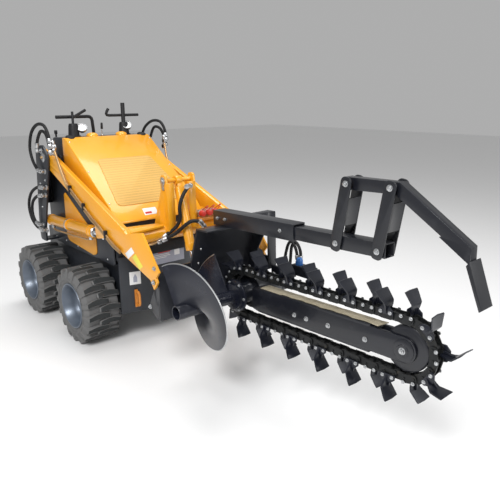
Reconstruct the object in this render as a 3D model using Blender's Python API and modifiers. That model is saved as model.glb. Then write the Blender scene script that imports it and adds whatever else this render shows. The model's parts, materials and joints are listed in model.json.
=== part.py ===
"""Mini skid steer loader with a chain trencher on its quick attach plate.

Metres, +X forward, +Y to the machine's left, +Z up. Below, "machine" coordinates have the
ground at Z = 0 and the front axle at X = 0; "tool" coordinates have their origin on the
trencher's drive shaft and lie along its boom. The empty loader_origin moves the machine so
that the middle of the whole object stands over the world origin.
"""

import math

import bmesh
import bpy
from mathutils import Vector

MACHINE = "mini_skid_steer_loader"
SIDES = (("right", -1), ("left", 1))
TOUCH = 0.0003
ROUND_STEPS = 24
WHEEL_STEPS = 28

# Where the middle of the whole object lies, in machine coordinates.
MIDDLE_X = 0.61593

# Wheels.
WHEELBASE = 0.685
WHEEL_PLANE = 0.3825
TYRE_RADIUS = 0.2394
TYRE_WIDTH = 0.240
RIM_RADIUS = 0.1264
HUB_RADIUS = 0.044
AXLE_RADIUS = 0.030
HUB_CLEARANCE = 0.0006

# Chassis tub and the panels above it.
TUB_HALF_WIDTH = 0.250
TUB_BOTTOM = 0.200
TUB_TOP = 0.560
TUB_FRONT = 0.285
TUB_REAR_OVERHANG = 0.185
TUB_WALL = 0.010
TUB_REAR_WALL = 0.090
FRONT_HALF_WIDTH = 0.280
FRONT_SWEEP = 0.043
TOW_HOOK_Y = 0.190
BODY_HALF_WIDTH = 0.307
PANEL_THICKNESS = 0.008
PANEL_BOTTOM = 0.515
HOOD_TOP_X = -0.310
HOOD_TOP = 1.236
HOOD_REAR_X = -0.360
HOOD_LIP_X = 0.235
HOOD_LIP_Z = 0.862
HOOD_NOSE_X = 0.303
HOOD_NOSE_Z = 0.790
HOOD_THICKNESS = 0.006
CONSOLE_REAR_X = -0.640
ENGINE_SIZE = (0.485, 0.46, 0.35)
ENGINE_PLACE = (-0.3835, 0.0, 0.466)
TANK_SIZE = (0.16, 0.44, 0.26)
TANK_PLACE = (-0.690, 0.0, 0.421)
PLATFORM_DEPTH = 0.240
PLATFORM_HEIGHT = 0.235

# Loader arms and their towers.
ARM_PIVOT = (-0.466, 0.0, 1.110)
ARM_INNER = 0.348
ARM_OUTER = 0.380
ARM_PLATE = 0.012
ARM_WEB = 0.008
ARM_FRONT_X = 0.560
LUG_PLATE_Y = 0.312
ARM_BOSS_RADIUS = 0.060
TOWER_OUTER = 0.397
TOWER_PLATE = 0.012
TOWER_EAR_RADIUS = 0.075
ARM_PIN_RADIUS = 0.020
CROSS_TUBE = (0.470, 0.0, 0.735)
CROSS_TUBE_RADIUS = 0.045
TOOL_PIVOT = (0.803, 0.0, 0.575)
TIP_PIN_RADIUS = 0.012
UPRIGHT_Y = 0.100

# Hydraulic cylinders.
CYLINDER_PLANE = 0.347
LIFT_REAR_PIN = (-0.605, 0.0, 0.675)
LIFT_FRONT_PIN = (0.225, 0.0, 0.712)
LIFT_BARREL_RADIUS = 0.035
LIFT_ROD_RADIUS = 0.0175
LIFT_BARREL_LENGTH = 0.705
LIFT_ROD_START = 0.200
TILT_TOP_PIN = (0.485, 0.0, 1.030)
TILT_LOW_PIN = (0.663, 0.0, 0.426)
TILT_BARREL_RADIUS = 0.028
TILT_ROD_RADIUS = 0.0140
TILT_PIN_RADIUS = 0.0125
TILT_EYE_RADIUS = 0.024
TILT_EYE_WIDTH = 0.040
LIFT_PIN_RADIUS = 0.012
LIFT_EYE_RADIUS = 0.026
TILT_BARREL_LENGTH = 0.412
TILT_ROD_START = 0.240
BARREL_WALL = 0.006
LIFT_EYE_WIDTH = 0.028
PIN_CLEARANCE = 0.0006

# Quick attach plate.
ATTACH_FRONT_X = 0.822
ATTACH_TOP = 0.640
ATTACH_BOTTOM = 0.360
ATTACH_PLATE = 0.012
ATTACH_CHEEK_DEPTH = 0.090
ATTACH_CLEARANCE = 0.006

# Trencher.
DRIVE_SHAFT = (1.080, 0.0, 0.505)
TOOL_PITCH = math.radians(2.06)
BOOM_LENGTH = 0.976
BOOM_HALF_WIDTH = 0.035
BOOM_HEIGHT = 0.124
BOOM_NOSE_RADIUS = 0.054
BOOM_WALL = 0.008
CHAIN_INNER_RADIUS = 0.100
CHAIN_HEIGHT = 0.042
CHAIN_WIDTH = 0.052
CUTTER_COUNT = 30
CUTTER_HEIGHT = 0.093
CUTTER_WIDTH = 0.150
CHAIN_MEAN_RADIUS = CHAIN_INNER_RADIUS + CHAIN_HEIGHT / 2
IDLER_RADIUS = 0.0975
HOUSING_RADIUS = 0.088
FRAME_FAR_Y = 0.310
AUGER_RADIUS = 0.237
AUGER_TUBE_RADIUS = 0.036
AUGER_OUTER_END = -0.436
AUGER_INNER_END = -0.062
AUGER_FLIGHT_OUTER = -0.428
AUGER_PITCH = 0.318
FLIGHT_THICKNESS = 0.007

# Crumber bar above the boom, in tool coordinates.
SLEEVE_SIDE = 0.078
INNER_SIDE = 0.064
SLEEVE_AXIS_Z = 0.380
SLEEVE_REAR_X = -0.200
SLEEVE_FRONT_X = 0.385
INNER_FRONT_X = 0.872
LINK_REAR_FOOT = (0.634, 0.0, 0.3745)
LINK_SPACING = 0.208
LINK_LENGTH = 0.257
LINK_LEAN = math.radians(10.9)
LINK_HALF_WIDTH = 0.034
LINK_PLATE = 0.006
LINK_GAP = 0.006
ARM_BAR_SIDE = 0.052


def clear_scene():
    for obj in list(bpy.data.objects):
        bpy.data.objects.remove(obj, do_unlink=True)


def new_collection(name):
    collection = bpy.data.collections.new(name)
    bpy.context.scene.collection.children.link(collection)
    return collection


def make_material(name, colour, roughness, metallic=0.0):
    material = bpy.data.materials.new(name)
    material.use_nodes = True
    surface = material.node_tree.nodes["Principled BSDF"]
    surface.inputs["Base Color"].default_value = (*colour, 1.0)
    surface.inputs["Roughness"].default_value = roughness
    surface.inputs["Metallic"].default_value = metallic
    return material


clear_scene()
PARTS = new_collection(MACHINE)
CUTTERS = new_collection("cutters")
CUTTERS.hide_render = True

YELLOW = ((0.80, 0.36, 0.015), 0.35)
CHARCOAL = ((0.020, 0.024, 0.034), 0.42)
BLACK = ((0.010, 0.010, 0.012), 0.60)
TYRE_BLACK = ((0.018, 0.018, 0.018), 0.85)
SILVER = ((0.30, 0.33, 0.38), 0.35, 0.7)
CHROME = ((0.75, 0.76, 0.78), 0.12, 1.0)
TAN = ((0.70, 0.38, 0.08), 0.55)
ORANGE = ((0.62, 0.20, 0.02), 0.40)


def empty(name, place, parent=None, pitch=0.0):
    """An empty at a place in its parent's frame; it remembers that place for what hangs on it."""
    obj = bpy.data.objects.new(name, None)
    PARTS.objects.link(obj)
    obj.empty_display_size = 0.05
    base = Vector((0, 0, 0))
    if parent:
        obj.parent = parent
        base = Vector(parent["place"])
    obj.location = Vector(place) - base
    obj.rotation_euler = (0.0, pitch, 0.0)
    obj["place"] = (0.0, 0.0, 0.0) if pitch else tuple(place)
    return obj


def add(name, data, pivot, at=(0, 0, 0), turn=(0, 0, 0), finish=CHARCOAL, cutter=False):
    """Puts a mesh or curve in the scene on its pivot; a cutter is hidden."""
    obj = bpy.data.objects.new(name, data)
    (CUTTERS if cutter else PARTS).objects.link(obj)
    obj.parent = pivot
    obj.location = Vector(at) - Vector(pivot["place"])
    obj.rotation_euler = turn
    if cutter:
        obj.hide_render = True
        obj.display_type = "WIRE"
    else:
        data.materials.append(make_material(name + "_finish", *finish))
    return obj


def to_mesh(obj):
    """Turns a curve object into a mesh object of the same name with welded caps."""
    bpy.context.view_layer.update()
    graph = bpy.context.evaluated_depsgraph_get()
    mesh = bpy.data.meshes.new_from_object(obj.evaluated_get(graph))
    bm = bmesh.new()
    bm.from_mesh(mesh)
    bmesh.ops.remove_doubles(bm, verts=bm.verts, dist=0.00001)
    bmesh.ops.recalc_face_normals(bm, faces=bm.faces)
    bm.to_mesh(mesh)
    bm.free()
    name, parent = obj.name, obj.parent
    place, turn = obj.location.copy(), obj.rotation_euler.copy()
    collection, hidden = obj.users_collection[0], obj.hide_render
    bpy.data.objects.remove(obj, do_unlink=True)
    made = bpy.data.objects.new(name, mesh)
    collection.objects.link(made)
    made.parent = parent
    made.location = place
    made.rotation_euler = turn
    made.hide_render = hidden
    made.display_type = "WIRE" if hidden else "TEXTURED"
    return made


def box(name, low, high, pivot, **options):
    """A box between two corners, given in the pivot's frame."""
    low, high = Vector(low), Vector(high)
    mesh = bpy.data.meshes.new(name)
    bm = bmesh.new()
    bmesh.ops.create_cube(bm, size=1.0)
    bmesh.ops.scale(bm, vec=high - low, verts=bm.verts)
    bm.to_mesh(mesh)
    bm.free()
    return add(name, mesh, pivot, (low + high) / 2, **options)


def rod(name, start, end, radius, pivot, steps=ROUND_STEPS, **options):
    """A round bar between two points along Y, X or Z, given in the pivot's frame."""
    start, end = Vector(start), Vector(end)
    mesh = bpy.data.meshes.new(name)
    bm = bmesh.new()
    bmesh.ops.create_cone(
        bm, cap_ends=True, segments=steps, radius1=radius, radius2=radius, depth=(end - start).length
    )
    for face in bm.faces:
        face.smooth = len(face.verts) == 4
    bm.to_mesh(mesh)
    bm.free()
    turn = (end - start).to_track_quat("Z", "Y").to_euler()
    return add(name, mesh, pivot, (start + end) / 2, turn=turn, **options)


def rounded(points, steps=4):
    """An outline from (a, b) or (a, b, radius) corners, with each radius drawn as an arc."""
    outline = []
    count = len(points)
    for i, point in enumerate(points):
        corner = Vector(point[:2])
        if len(point) == 2 or point[2] <= 0:
            outline.append(tuple(corner))
            continue
        before = (Vector(points[i - 1][:2]) - corner).normalized()
        after = (Vector(points[(i + 1) % count][:2]) - corner).normalized()
        half = before.angle(after) / 2
        reach = point[2] / math.tan(half)
        middle = corner + (before + after).normalized() * (point[2] / math.sin(half))
        first = corner + before * reach - middle
        last = corner + after * reach - middle
        sweep = math.atan2(first.x * last.y - first.y * last.x, first.dot(last))
        for k in range(steps + 1):
            angle = sweep * k / steps
            turned = Vector(
                (
                    first.x * math.cos(angle) - first.y * math.sin(angle),
                    first.x * math.sin(angle) + first.y * math.cos(angle),
                )
            )
            outline.append(tuple(middle + turned))
    return outline


AXES = {
    "x": (0, math.pi / 2, 0),
    "y": (-math.pi / 2, 0, 0),
    "-y": (math.pi / 2, 0, 0),
    "z": (0, 0, 0),
}
PLANES = {
    "xz": (math.pi / 2, 0, 0),
    "xy": (0, 0, 0),
    "yz": (math.pi / 2, 0, math.pi / 2),
}


def plate(name, outline, low, high, pivot, plane="xz", **options):
    """A flat outline in one plane, extruded between two heights across it, as a mesh."""
    curve = bpy.data.curves.new(name, "CURVE")
    curve.dimensions = "2D"
    curve.fill_mode = "BOTH"
    curve.extrude = (high - low) / 2
    points = rounded(outline)
    spline = curve.splines.new("POLY")
    spline.points.add(len(points) - 1)
    for point, (a, b) in zip(spline.points, points):
        point.co = (a, b, 0, 1)
    spline.use_cyclic_u = True
    middle = (low + high) / 2
    at = {"xz": (0, middle, 0), "xy": (0, 0, middle), "yz": (middle, 0, 0)}[plane]
    obj = add(name, curve, pivot, (0, 0, 0), turn=PLANES[plane], **options)
    obj.location = Vector(at) - Vector(pivot["place"])
    return to_mesh(obj)


def turned(name, profile, pivot, at, axis="y", steps=ROUND_STEPS, closed=False, **options):
    """A profile of (radius, height) points swept round an axis by a Screw modifier."""
    mesh = bpy.data.meshes.new(name)
    bm = bmesh.new()
    verts = [bm.verts.new((radius, 0, height)) for radius, height in profile]
    for first, second in zip(verts, verts[1:]):
        bm.edges.new((first, second))
    if closed:
        bm.edges.new((verts[-1], verts[0]))
    bm.to_mesh(mesh)
    bm.free()
    obj = add(name, mesh, pivot, at, turn=AXES[axis], **options)
    screw = obj.modifiers.new("turn", "SCREW")
    screw.steps = steps
    screw.render_steps = steps
    screw.use_merge_vertices = True
    screw.merge_threshold = 0.00005
    screw.use_smooth_shade = True
    return obj


def tube(name, points, radius, pivot, resolution=2, **options):
    """A bent round bar through points given in the pivot's frame."""
    curve = bpy.data.curves.new(name, "CURVE")
    curve.dimensions = "3D"
    curve.bevel_depth = radius
    curve.bevel_resolution = resolution
    curve.use_fill_caps = True
    spline = curve.splines.new("POLY")
    spline.points.add(len(points) - 1)
    for point, place in zip(spline.points, points):
        point.co = (*place, 1)
    obj = add(name, curve, pivot, (0, 0, 0), **options)
    return to_mesh(obj)


def bent(points, radius, steps=3):
    """The route of a bar through corners in space, with each inner corner rounded."""
    places = [Vector(point) for point in points]
    route = [places[0]]
    for before, corner, after in zip(places, places[1:], places[2:]):
        to_before = (before - corner).normalized()
        to_after = (after - corner).normalized()
        reach = radius / math.tan(to_before.angle(to_after) / 2)
        first, last = corner + to_before * reach, corner + to_after * reach
        for k in range(steps + 1):
            share = k / steps
            route.append(
                (1 - share) ** 2 * first + 2 * share * (1 - share) * corner + share**2 * last
            )
    route.append(places[-1])
    return [tuple(place) for place in route]


def boolean(obj, other, operation):
    modifier = obj.modifiers.new(operation.lower(), "BOOLEAN")
    modifier.operation = operation
    modifier.solver = "EXACT"
    modifier.object = other


def join(obj, *others):
    for other in others:
        boolean(obj, other, "UNION")


def cut(obj, *others):
    for other in others:
        boolean(obj, other, "DIFFERENCE")


def bevel(obj, width, segments=2, angle=math.radians(35)):
    modifier = obj.modifiers.new("bevel", "BEVEL")
    modifier.width = width
    modifier.segments = segments
    modifier.limit_method = "ANGLE"
    modifier.angle_limit = angle
    modifier.harden_normals = False


def direction(start, end):
    """The length and upward angle of a line in the XZ plane."""
    run, rise = end[0] - start[0], end[2] - start[2]
    return math.hypot(run, rise), math.atan2(rise, run)


def split_line(x):
    """Height of the seam between the side panels and the hood."""
    slope = (HOOD_NOSE_Z - 0.015 - 1.030) / (HOOD_NOSE_X - HOOD_REAR_X)
    return 1.030 + slope * (x - HOOD_REAR_X)


# --- wheels and axles ---------------------------------------------------------------------


def make_wheel(end, x, side, sign, origin):
    label = end + "_" + side
    centre = (x, sign * WHEEL_PLANE, TYRE_RADIUS)
    hub = empty("wheel_axis_" + label, centre, origin)
    half = TYRE_WIDTH / 2
    bead = RIM_RADIUS + 0.0034
    lip = RIM_RADIUS + 0.0146
    edge = half - 0.016
    outer = [(TYRE_RADIUS, 0.36 * TYRE_WIDTH), (0.95 * TYRE_RADIUS, 0.46 * TYRE_WIDTH)]
    outer += [(0.82 * TYRE_RADIUS, half), (lip + 0.004, half - 0.008), (lip, edge), (bead, edge)]
    inner = [(bead, edge - 0.012), (0.80 * TYRE_RADIUS, half - 0.014)]
    inner += [(0.89 * TYRE_RADIUS, 0.44 * TYRE_WIDTH - 0.010), (0.92 * TYRE_RADIUS, 0.3 * TYRE_WIDTH)]
    half_ring = inner[::-1] + outer[::-1]
    profile = half_ring + [(radius, -height) for radius, height in reversed(half_ring)]
    axis = "y" if sign > 0 else "-y"
    turned("tyre_" + label, profile, hub, centre, axis, steps=WHEEL_STEPS, closed=True,
           finish=TYRE_BLACK)
    seat = bead - TOUCH
    edge += TOUCH
    disc = 0.014
    profile = [(0, disc + 0.020), (HUB_RADIUS, disc + 0.020), (HUB_RADIUS + 0.014, disc)]
    profile += [(RIM_RADIUS - 0.018, disc), (RIM_RADIUS - 0.004, disc + 0.026)]
    profile += [(RIM_RADIUS - 0.003, edge + 0.006), (lip, edge + 0.006), (lip, edge), (seat, edge)]
    profile += [(seat, -edge), (lip, -edge), (lip, -edge - 0.006), (RIM_RADIUS - 0.003, -edge - 0.006)]
    profile += [(RIM_RADIUS - 0.004, disc - 0.010), (HUB_RADIUS, disc - 0.010)]
    profile += [(HUB_RADIUS, -0.090), (AXLE_RADIUS + HUB_CLEARANCE, -0.090)]
    profile += [(AXLE_RADIUS + HUB_CLEARANCE, disc + 0.006), (0, disc + 0.006)]
    turned("rim_" + label, profile, hub, centre, axis, steps=WHEEL_STEPS, finish=SILVER)


def make_axle(end, x, origin):
    reach = WHEEL_PLANE + 0.018
    start, stop = (x, -reach, TYRE_RADIUS), (x, reach, TYRE_RADIUS)
    return rod(end + "_axle", start, stop, AXLE_RADIUS, origin, finish=SILVER)


# --- chassis ------------------------------------------------------------------------------


def make_tub(origin):
    rear = -WHEELBASE - TUB_REAR_OVERHANG
    notch = TUB_FRONT - FRONT_SWEEP - 0.010
    half = [(TUB_FRONT, 0.11), (TUB_FRONT - FRONT_SWEEP, FRONT_HALF_WIDTH)]
    half += [(notch, FRONT_HALF_WIDTH), (notch, TUB_HALF_WIDTH), (rear, TUB_HALF_WIDTH)]
    plan = half + [(x, -y) for x, y in reversed(half)]
    tub = plate("chassis_tub", plan, TUB_BOTTOM, TUB_TOP, origin, plane="xy")
    inner_front = TUB_FRONT - FRONT_SWEEP - 0.012
    low = (rear + TUB_REAR_WALL, -TUB_HALF_WIDTH + TUB_WALL, TUB_BOTTOM + 0.012)
    high = (inner_front, TUB_HALF_WIDTH - TUB_WALL, TUB_TOP + 0.05)
    cut(tub, box("tub_inside", low, high, origin, cutter=True))
    for end, x in (("front", 0.0), ("rear", -WHEELBASE)):
        start, stop = (x, -0.4, TYRE_RADIUS), (x, 0.4, TYRE_RADIUS)
        hole = rod(end + "_axle_hole", start, stop, AXLE_RADIUS + TOUCH, origin, cutter=True)
        cut(tub, hole)
    wall_low = (inner_front - 0.005, -BODY_HALF_WIDTH + 0.02, TUB_TOP - 0.02)
    wall_high = (inner_front + 0.006, BODY_HALF_WIDTH - 0.02, HOOD_NOSE_Z - 0.03)
    wall = box("tub_front_wall", wall_low, wall_high, origin, cutter=True)
    join(tub, wall)
    return tub


def make_side_panel(side, sign, origin):
    rear, front = CONSOLE_REAR_X - 0.020, TUB_FRONT - FRONT_SWEEP
    outline = [(rear, PANEL_BOTTOM), (front, PANEL_BOTTOM, 0.02), (front, split_line(front))]
    outline += [(HOOD_REAR_X, split_line(HOOD_REAR_X)), (rear, split_line(HOOD_REAR_X) + 0.06)]
    low, high = sorted((sign * (BODY_HALF_WIDTH - PANEL_THICKNESS), sign * BODY_HALF_WIDTH))
    panel = plate("side_panel_" + side, outline, low, high, origin)
    y0, y1 = sorted((sign * (TUB_HALF_WIDTH + TOUCH), sign * (BODY_HALF_WIDTH - 0.004)))
    low, high = (rear + 0.004, y0, PANEL_BOTTOM + 0.002), (front - 0.012, y1, PANEL_BOTTOM + 0.010)
    join(panel, box("side_panel_floor_" + side, low, high, origin, cutter=True))
    return panel


def make_tower(side, sign, origin):
    """Outer plate with its ear, the rear web and the foot that ties it to the side panel."""
    x, _, z = ARM_PIVOT
    rear_top, rear_low = x - 0.119, LIFT_REAR_PIN[0] - 0.052
    outline = [(rear_top, z + 0.052, 0.02), (x, z + TOWER_EAR_RADIUS + 0.01, 0.06)]
    outline += [(x + TOWER_EAR_RADIUS, z + 0.01, 0.05), (x + 0.052, z - 0.09, 0.03)]
    outline += [(rear_low + 0.105, 0.62, 0.02), (rear_low + 0.10, PANEL_BOTTOM + 0.015)]
    outline += [(rear_low + 0.012, PANEL_BOTTOM + 0.015, 0.02), (rear_low, 0.62, 0.02)]
    low, high = sorted((sign * (TOWER_OUTER - TOWER_PLATE), sign * TOWER_OUTER))
    tower = plate("tower_" + side, outline, low, high, origin)
    inner = BODY_HALF_WIDTH + TOUCH
    y0, y1 = sorted((sign * inner, sign * (TOWER_OUTER - 0.004)))
    slope = (rear_top - rear_low) / (z + 0.052 - 0.62)

    def rear_at(height):
        return rear_low + slope * (height - 0.62)

    web = [(rear_at(0.78) + 0.002, 0.78), (rear_at(z), z), (rear_at(z) + 0.010, z)]
    web += [(rear_at(0.78) + 0.012, 0.78)]
    join(tower, plate("tower_web_" + side, web, y0, y1, origin, cutter=True))
    low = (rear_low + 0.016, y0, PANEL_BOTTOM + 0.018)
    high = (rear_low + 0.096, y1, PANEL_BOTTOM + 0.030)
    join(tower, box("tower_foot_" + side, low, high, origin, cutter=True))
    return tower


def make_pivot_pin(side, sign, origin):
    """The arm's pin, from the side panel out through the tower's ear."""
    x, _, z = ARM_PIVOT
    start = (x, sign * (BODY_HALF_WIDTH + TOUCH), z)
    stop = (x, sign * (TOWER_OUTER - TOWER_PLATE - TOUCH), z)
    return rod("arm_pin_" + side, start, stop, ARM_PIN_RADIUS, origin, finish=SILVER)


def hood_outline(inset=0.0, low=0.0):
    """The hood's side view, moved inwards for its hollow."""
    slope = math.atan2(HOOD_TOP - HOOD_LIP_Z, HOOD_LIP_X - HOOD_TOP_X)
    drop = inset / math.cos(slope)
    nose_x = HOOD_NOSE_X - inset
    return [
        (HOOD_REAR_X - low, split_line(HOOD_REAR_X) - low),
        (HOOD_REAR_X - low, HOOD_TOP + 0.002 - inset),
        (HOOD_TOP_X - inset * 0.3, HOOD_TOP - inset),
        (HOOD_LIP_X - inset * 0.4, HOOD_LIP_Z - drop),
        (nose_x, HOOD_NOSE_Z - inset * 0.5),
        (nose_x, split_line(HOOD_NOSE_X) - low),
    ]


def make_hood(origin):
    half = BODY_HALF_WIDTH
    hood = plate("hood", hood_outline(), -half, half, origin, finish=YELLOW)
    bevel(hood, 0.012)
    inside = hood_outline(HOOD_THICKNESS, 0.05)
    wide = half - HOOD_THICKNESS
    cut(hood, plate("hood_inside", inside, -wide, wide, origin, cutter=True))
    return hood


def make_grille(origin):
    """The perforated panel on the hood's slope."""
    slope = math.atan2(HOOD_TOP - HOOD_LIP_Z, HOOD_LIP_X - HOOD_TOP_X)
    length = math.hypot(HOOD_TOP - HOOD_LIP_Z, HOOD_LIP_X - HOOD_TOP_X)
    start, stop = 0.225, length - 0.008
    half_top, half_low = 0.190, 0.250
    outline = [(start, -half_top, 0.03), (stop, -half_low, 0.03)]
    outline += [(stop, half_low, 0.03), (start, half_top, 0.03)]
    frame = empty("hood_slope", (HOOD_TOP_X, 0.0, HOOD_TOP), origin, pitch=slope)
    low = TOUCH
    return plate("hood_grille", outline, low, low + 0.004, frame, plane="xy", finish=TAN)


def make_console(origin):
    """The rear housing with the controls on top, open below."""
    front = HOOD_REAR_X - TOUCH
    rear = CONSOLE_REAR_X
    floor = TUB_TOP + TOUCH
    outline = [(front, floor), (front, HOOD_TOP - 0.004), (rear + 0.130, HOOD_TOP - 0.004, 0.02)]
    outline += [(rear, HOOD_TOP - 0.150, 0.03), (rear, floor)]
    half = BODY_HALF_WIDTH - PANEL_THICKNESS - TOUCH
    console = plate("rear_console", outline, -half, half, origin)
    inside = [(front + 0.05, floor - 0.05), (front + 0.05, HOOD_TOP - 0.012)]
    inside += [(rear + 0.133, HOOD_TOP - 0.012), (rear + 0.008, HOOD_TOP - 0.156)]
    inside += [(rear + 0.008, floor - 0.05)]
    wide = half - 0.008
    cut(console, plate("console_inside", inside, -wide, wide, origin, cutter=True))
    return console


def make_engine(origin):
    """The engine with the hydraulic tank behind it, low between the wheels."""
    middle, size = Vector(ENGINE_PLACE), Vector(ENGINE_SIZE)
    engine = box("engine_block", middle - size / 2, middle + size / 2, origin, finish=SILVER)
    middle, size = Vector(TANK_PLACE), Vector(TANK_SIZE)
    tank = box("oil_tank", middle - size / 2, middle + size / 2, origin, cutter=True)
    join(engine, tank)
    return engine


def make_side_vent(side, sign, origin):
    """The bolted cover with cut corners on the side panel, with its raised rim."""
    outline = [(-0.395, 0.880, 0.025), (-0.370, 0.880, 0.02), (0.030, 0.655, 0.03)]
    outline += [(0.030, 0.545, 0.03), (-0.020, 0.530, 0.02), (-0.400, 0.560, 0.05)]
    low, high = sorted((sign * (BODY_HALF_WIDTH + TOUCH), sign * (BODY_HALF_WIDTH + 0.005)))
    return plate("side_vent_" + side, outline, low, high, origin, finish=YELLOW)


def make_bumper(origin):
    low = (TUB_FRONT - FRONT_SWEEP + 0.006, -0.200, TUB_TOP + TOUCH)
    high = (TUB_FRONT + 0.022, 0.200, TUB_TOP + 0.065)
    strip = box("front_bumper", low, high, origin, finish=BLACK)
    bevel(strip, 0.008)
    return strip


def make_tow_hook(side, sign, origin):
    """A C-shaped hook on the swept part of the front wall."""
    y = sign * TOW_HOOK_Y
    front = TUB_FRONT - FRONT_SWEEP * (TOW_HOOK_Y - 0.11) / (FRONT_HALF_WIDTH - 0.11)
    route = bent(
        [
            (front + 0.0085, y, 0.338),
            (front + 0.045, y, 0.340),
            (front + 0.048, y, 0.254),
            (front + 0.0085, y, 0.248),
        ],
        0.022,
    )
    hook = tube("tow_hook_" + side, route, 0.0085, origin, finish=ORANGE)
    low = (front + 0.006 + TOUCH, y - 0.011, 0.236)
    high = (front + 0.012, y + 0.011, 0.350)
    join(hook, box("tow_hook_base_" + side, low, high, origin, cutter=True))
    return hook


def make_platform(origin):
    """The stand-on step behind the tub with its two hangers and raised kerb."""
    front = -WHEELBASE - TUB_REAR_OVERHANG - TOUCH
    rear = front - PLATFORM_DEPTH
    top = PLATFORM_HEIGHT + 0.008
    low, high = (rear, -0.235, PLATFORM_HEIGHT), (front, 0.235, top)
    step = box("operator_platform", low, high, origin)
    kerb_low, kerb_high = (rear + 0.002, -0.233, PLATFORM_HEIGHT + 0.002), (rear + 0.010, 0.233, top + 0.030)
    join(step, box("platform_kerb", kerb_low, kerb_high, origin, cutter=True))
    for side, sign in SIDES:
        outline = [(front, PLATFORM_HEIGHT + 0.004), (rear + 0.03, PLATFORM_HEIGHT + 0.004)]
        outline += [(front - 0.02, TUB_TOP - 0.16), (front, TUB_TOP - 0.16)]
        y0, y1 = sorted((sign * 0.226, sign * 0.234))
        join(step, plate("platform_hanger_" + side, outline, y0, y1, origin, cutter=True))
    return step


def make_deck(origin):
    """The cover over the rear of the tub, behind the console."""
    rear = -WHEELBASE - TUB_REAR_OVERHANG
    low = (rear, -TUB_HALF_WIDTH, TUB_TOP + TOUCH)
    high = (CONSOLE_REAR_X - TOUCH, TUB_HALF_WIDTH, TUB_TOP + 0.006)
    return box("rear_deck", low, high, origin)


# --- controls -----------------------------------------------------------------------------

CONTROL_X = -0.420
CONTROL_BASE = HOOD_TOP - 0.004 + TOUCH


def make_boot(name, y, origin, **options):
    profile = [(0, 0.088), (0.027, 0.088), (0.031, 0.074), (0.036, 0.012), (0.044, 0.010)]
    profile += [(0.044, 0), (0, 0)]
    at = (CONTROL_X, y, CONTROL_BASE)
    return turned(name, profile, origin, at, "z", steps=16, finish=BLACK, **options)


def make_left_lever(origin):
    lever = make_boot("control_lever_right_hand", -0.195, origin)
    top = CONTROL_BASE + 0.165
    stem = rod("lever_stem_a", (CONTROL_X, -0.195, CONTROL_BASE + 0.07), (CONTROL_X, -0.195, top),
               0.008, origin, steps=12, cutter=True)
    grip = tube("lever_grip_a", [(CONTROL_X, -0.193, top - 0.038), (CONTROL_X - 0.010, -0.098, top + 0.008)],
                0.0095, origin, cutter=True)
    join(lever, stem, grip)
    return lever


def make_hand_rail(origin):
    """The bent grip bar that stands on the console."""
    height = CONTROL_BASE + 0.130
    x = CONTROL_X - 0.045
    route = bent(
        [(x, -0.290, height), (x, -0.040, height), (x, -0.030, CONTROL_BASE + 0.0006)], 0.030
    )
    return tube("hand_rail", route, 0.0115, origin, finish=BLACK)


def make_right_lever(origin):
    lever = make_boot("control_lever_left_hand", 0.175, origin)
    top = CONTROL_BASE + 0.218
    post = rod("lever_post_b", (CONTROL_X, 0.175, CONTROL_BASE + 0.07), (CONTROL_X, 0.175, top),
               0.014, origin, steps=12, cutter=True)
    height = CONTROL_BASE + 0.135
    route = bent(
        [
            (CONTROL_X, 0.065, height + 0.045),
            (CONTROL_X - 0.004, 0.038, height),
            (CONTROL_X - 0.004, 0.295, height),
        ],
        0.018,
    )
    bar = tube("lever_bar_b", route, 0.010, origin, cutter=True)
    join(lever, post, bar)
    return lever


# --- loader arms --------------------------------------------------------------------------


def arm_outline():
    """The outer plate's side view: rear boss, cylinder lug, front plate and the pointed tip."""
    px, _, pz = ARM_PIVOT
    fx, _, fz = LIFT_FRONT_PIN
    tx, _, tz = TOOL_PIVOT
    return [
        (px - ARM_BOSS_RADIUS, pz + 0.02, 0.03),
        (px - 0.02, pz + ARM_BOSS_RADIUS, 0.04),
        (px + 0.09, pz + 0.024, 0.03),
        *arm_top_end(),
        (ARM_FRONT_X - 0.045, 0.774),
        (tx - 0.099, tz + 0.241, 0.004),
        (tx + 0.049, tz + 0.062, 0.004),
        (tx + 0.018, tz + 0.026),
        (tx + 0.031, tz + 0.004, 0.006),
        (tx - 0.003, tz - 0.044, 0.005),
        (tx - 0.034, tz + 0.003),
        (fx + 0.289, fz - 0.060),
        (fx + 0.078, fz + 0.019, 0.02),
        (fx + 0.074, fz - 0.002, 0.006),
        (fx - 0.042, fz - 0.024, 0.012),
        (fx - 0.056, fz + 0.071),
        (px + 0.05, pz - 0.058, 0.04),
        (px - ARM_BOSS_RADIUS, pz - 0.045, 0.04),
    ]


def arm_top_end():
    """Where the beam's top edge ends, over the cross tube."""
    return [(ARM_FRONT_X - 0.068, 0.808), (ARM_FRONT_X - 0.050, 0.800)]


def beam_outline(inset=0.0, drop=0.0):
    """The hollow beam behind the outer plate; inset and drop shape its open-bottomed inside."""
    px, _, pz = ARM_PIVOT
    fx, _, fz = LIFT_FRONT_PIN
    rear = px - ARM_BOSS_RADIUS + 0.01 + (0.19 if inset else 0)
    top = pz + 0.030 - (0.068 if inset else 0)
    front = ARM_FRONT_X - inset * 1.5
    slope = (0.808 - pz - 0.024) / (ARM_FRONT_X - 0.068 - px - 0.09)
    return [
        (rear, top),
        (px + 0.09 if not inset else rear + 0.01, pz + 0.022 if not inset else top - 0.003),
        (ARM_FRONT_X - 0.070, 0.806 - inset),
        (front, 0.760 - inset),
        (front, 0.646 - drop),
        (fx + 0.080, fz + 0.021 - drop),
        (fx - 0.054, fz + 0.073 - drop),
        (rear, pz - 0.040 + slope * (0.19 if inset else 0) - drop),
    ]


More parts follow.
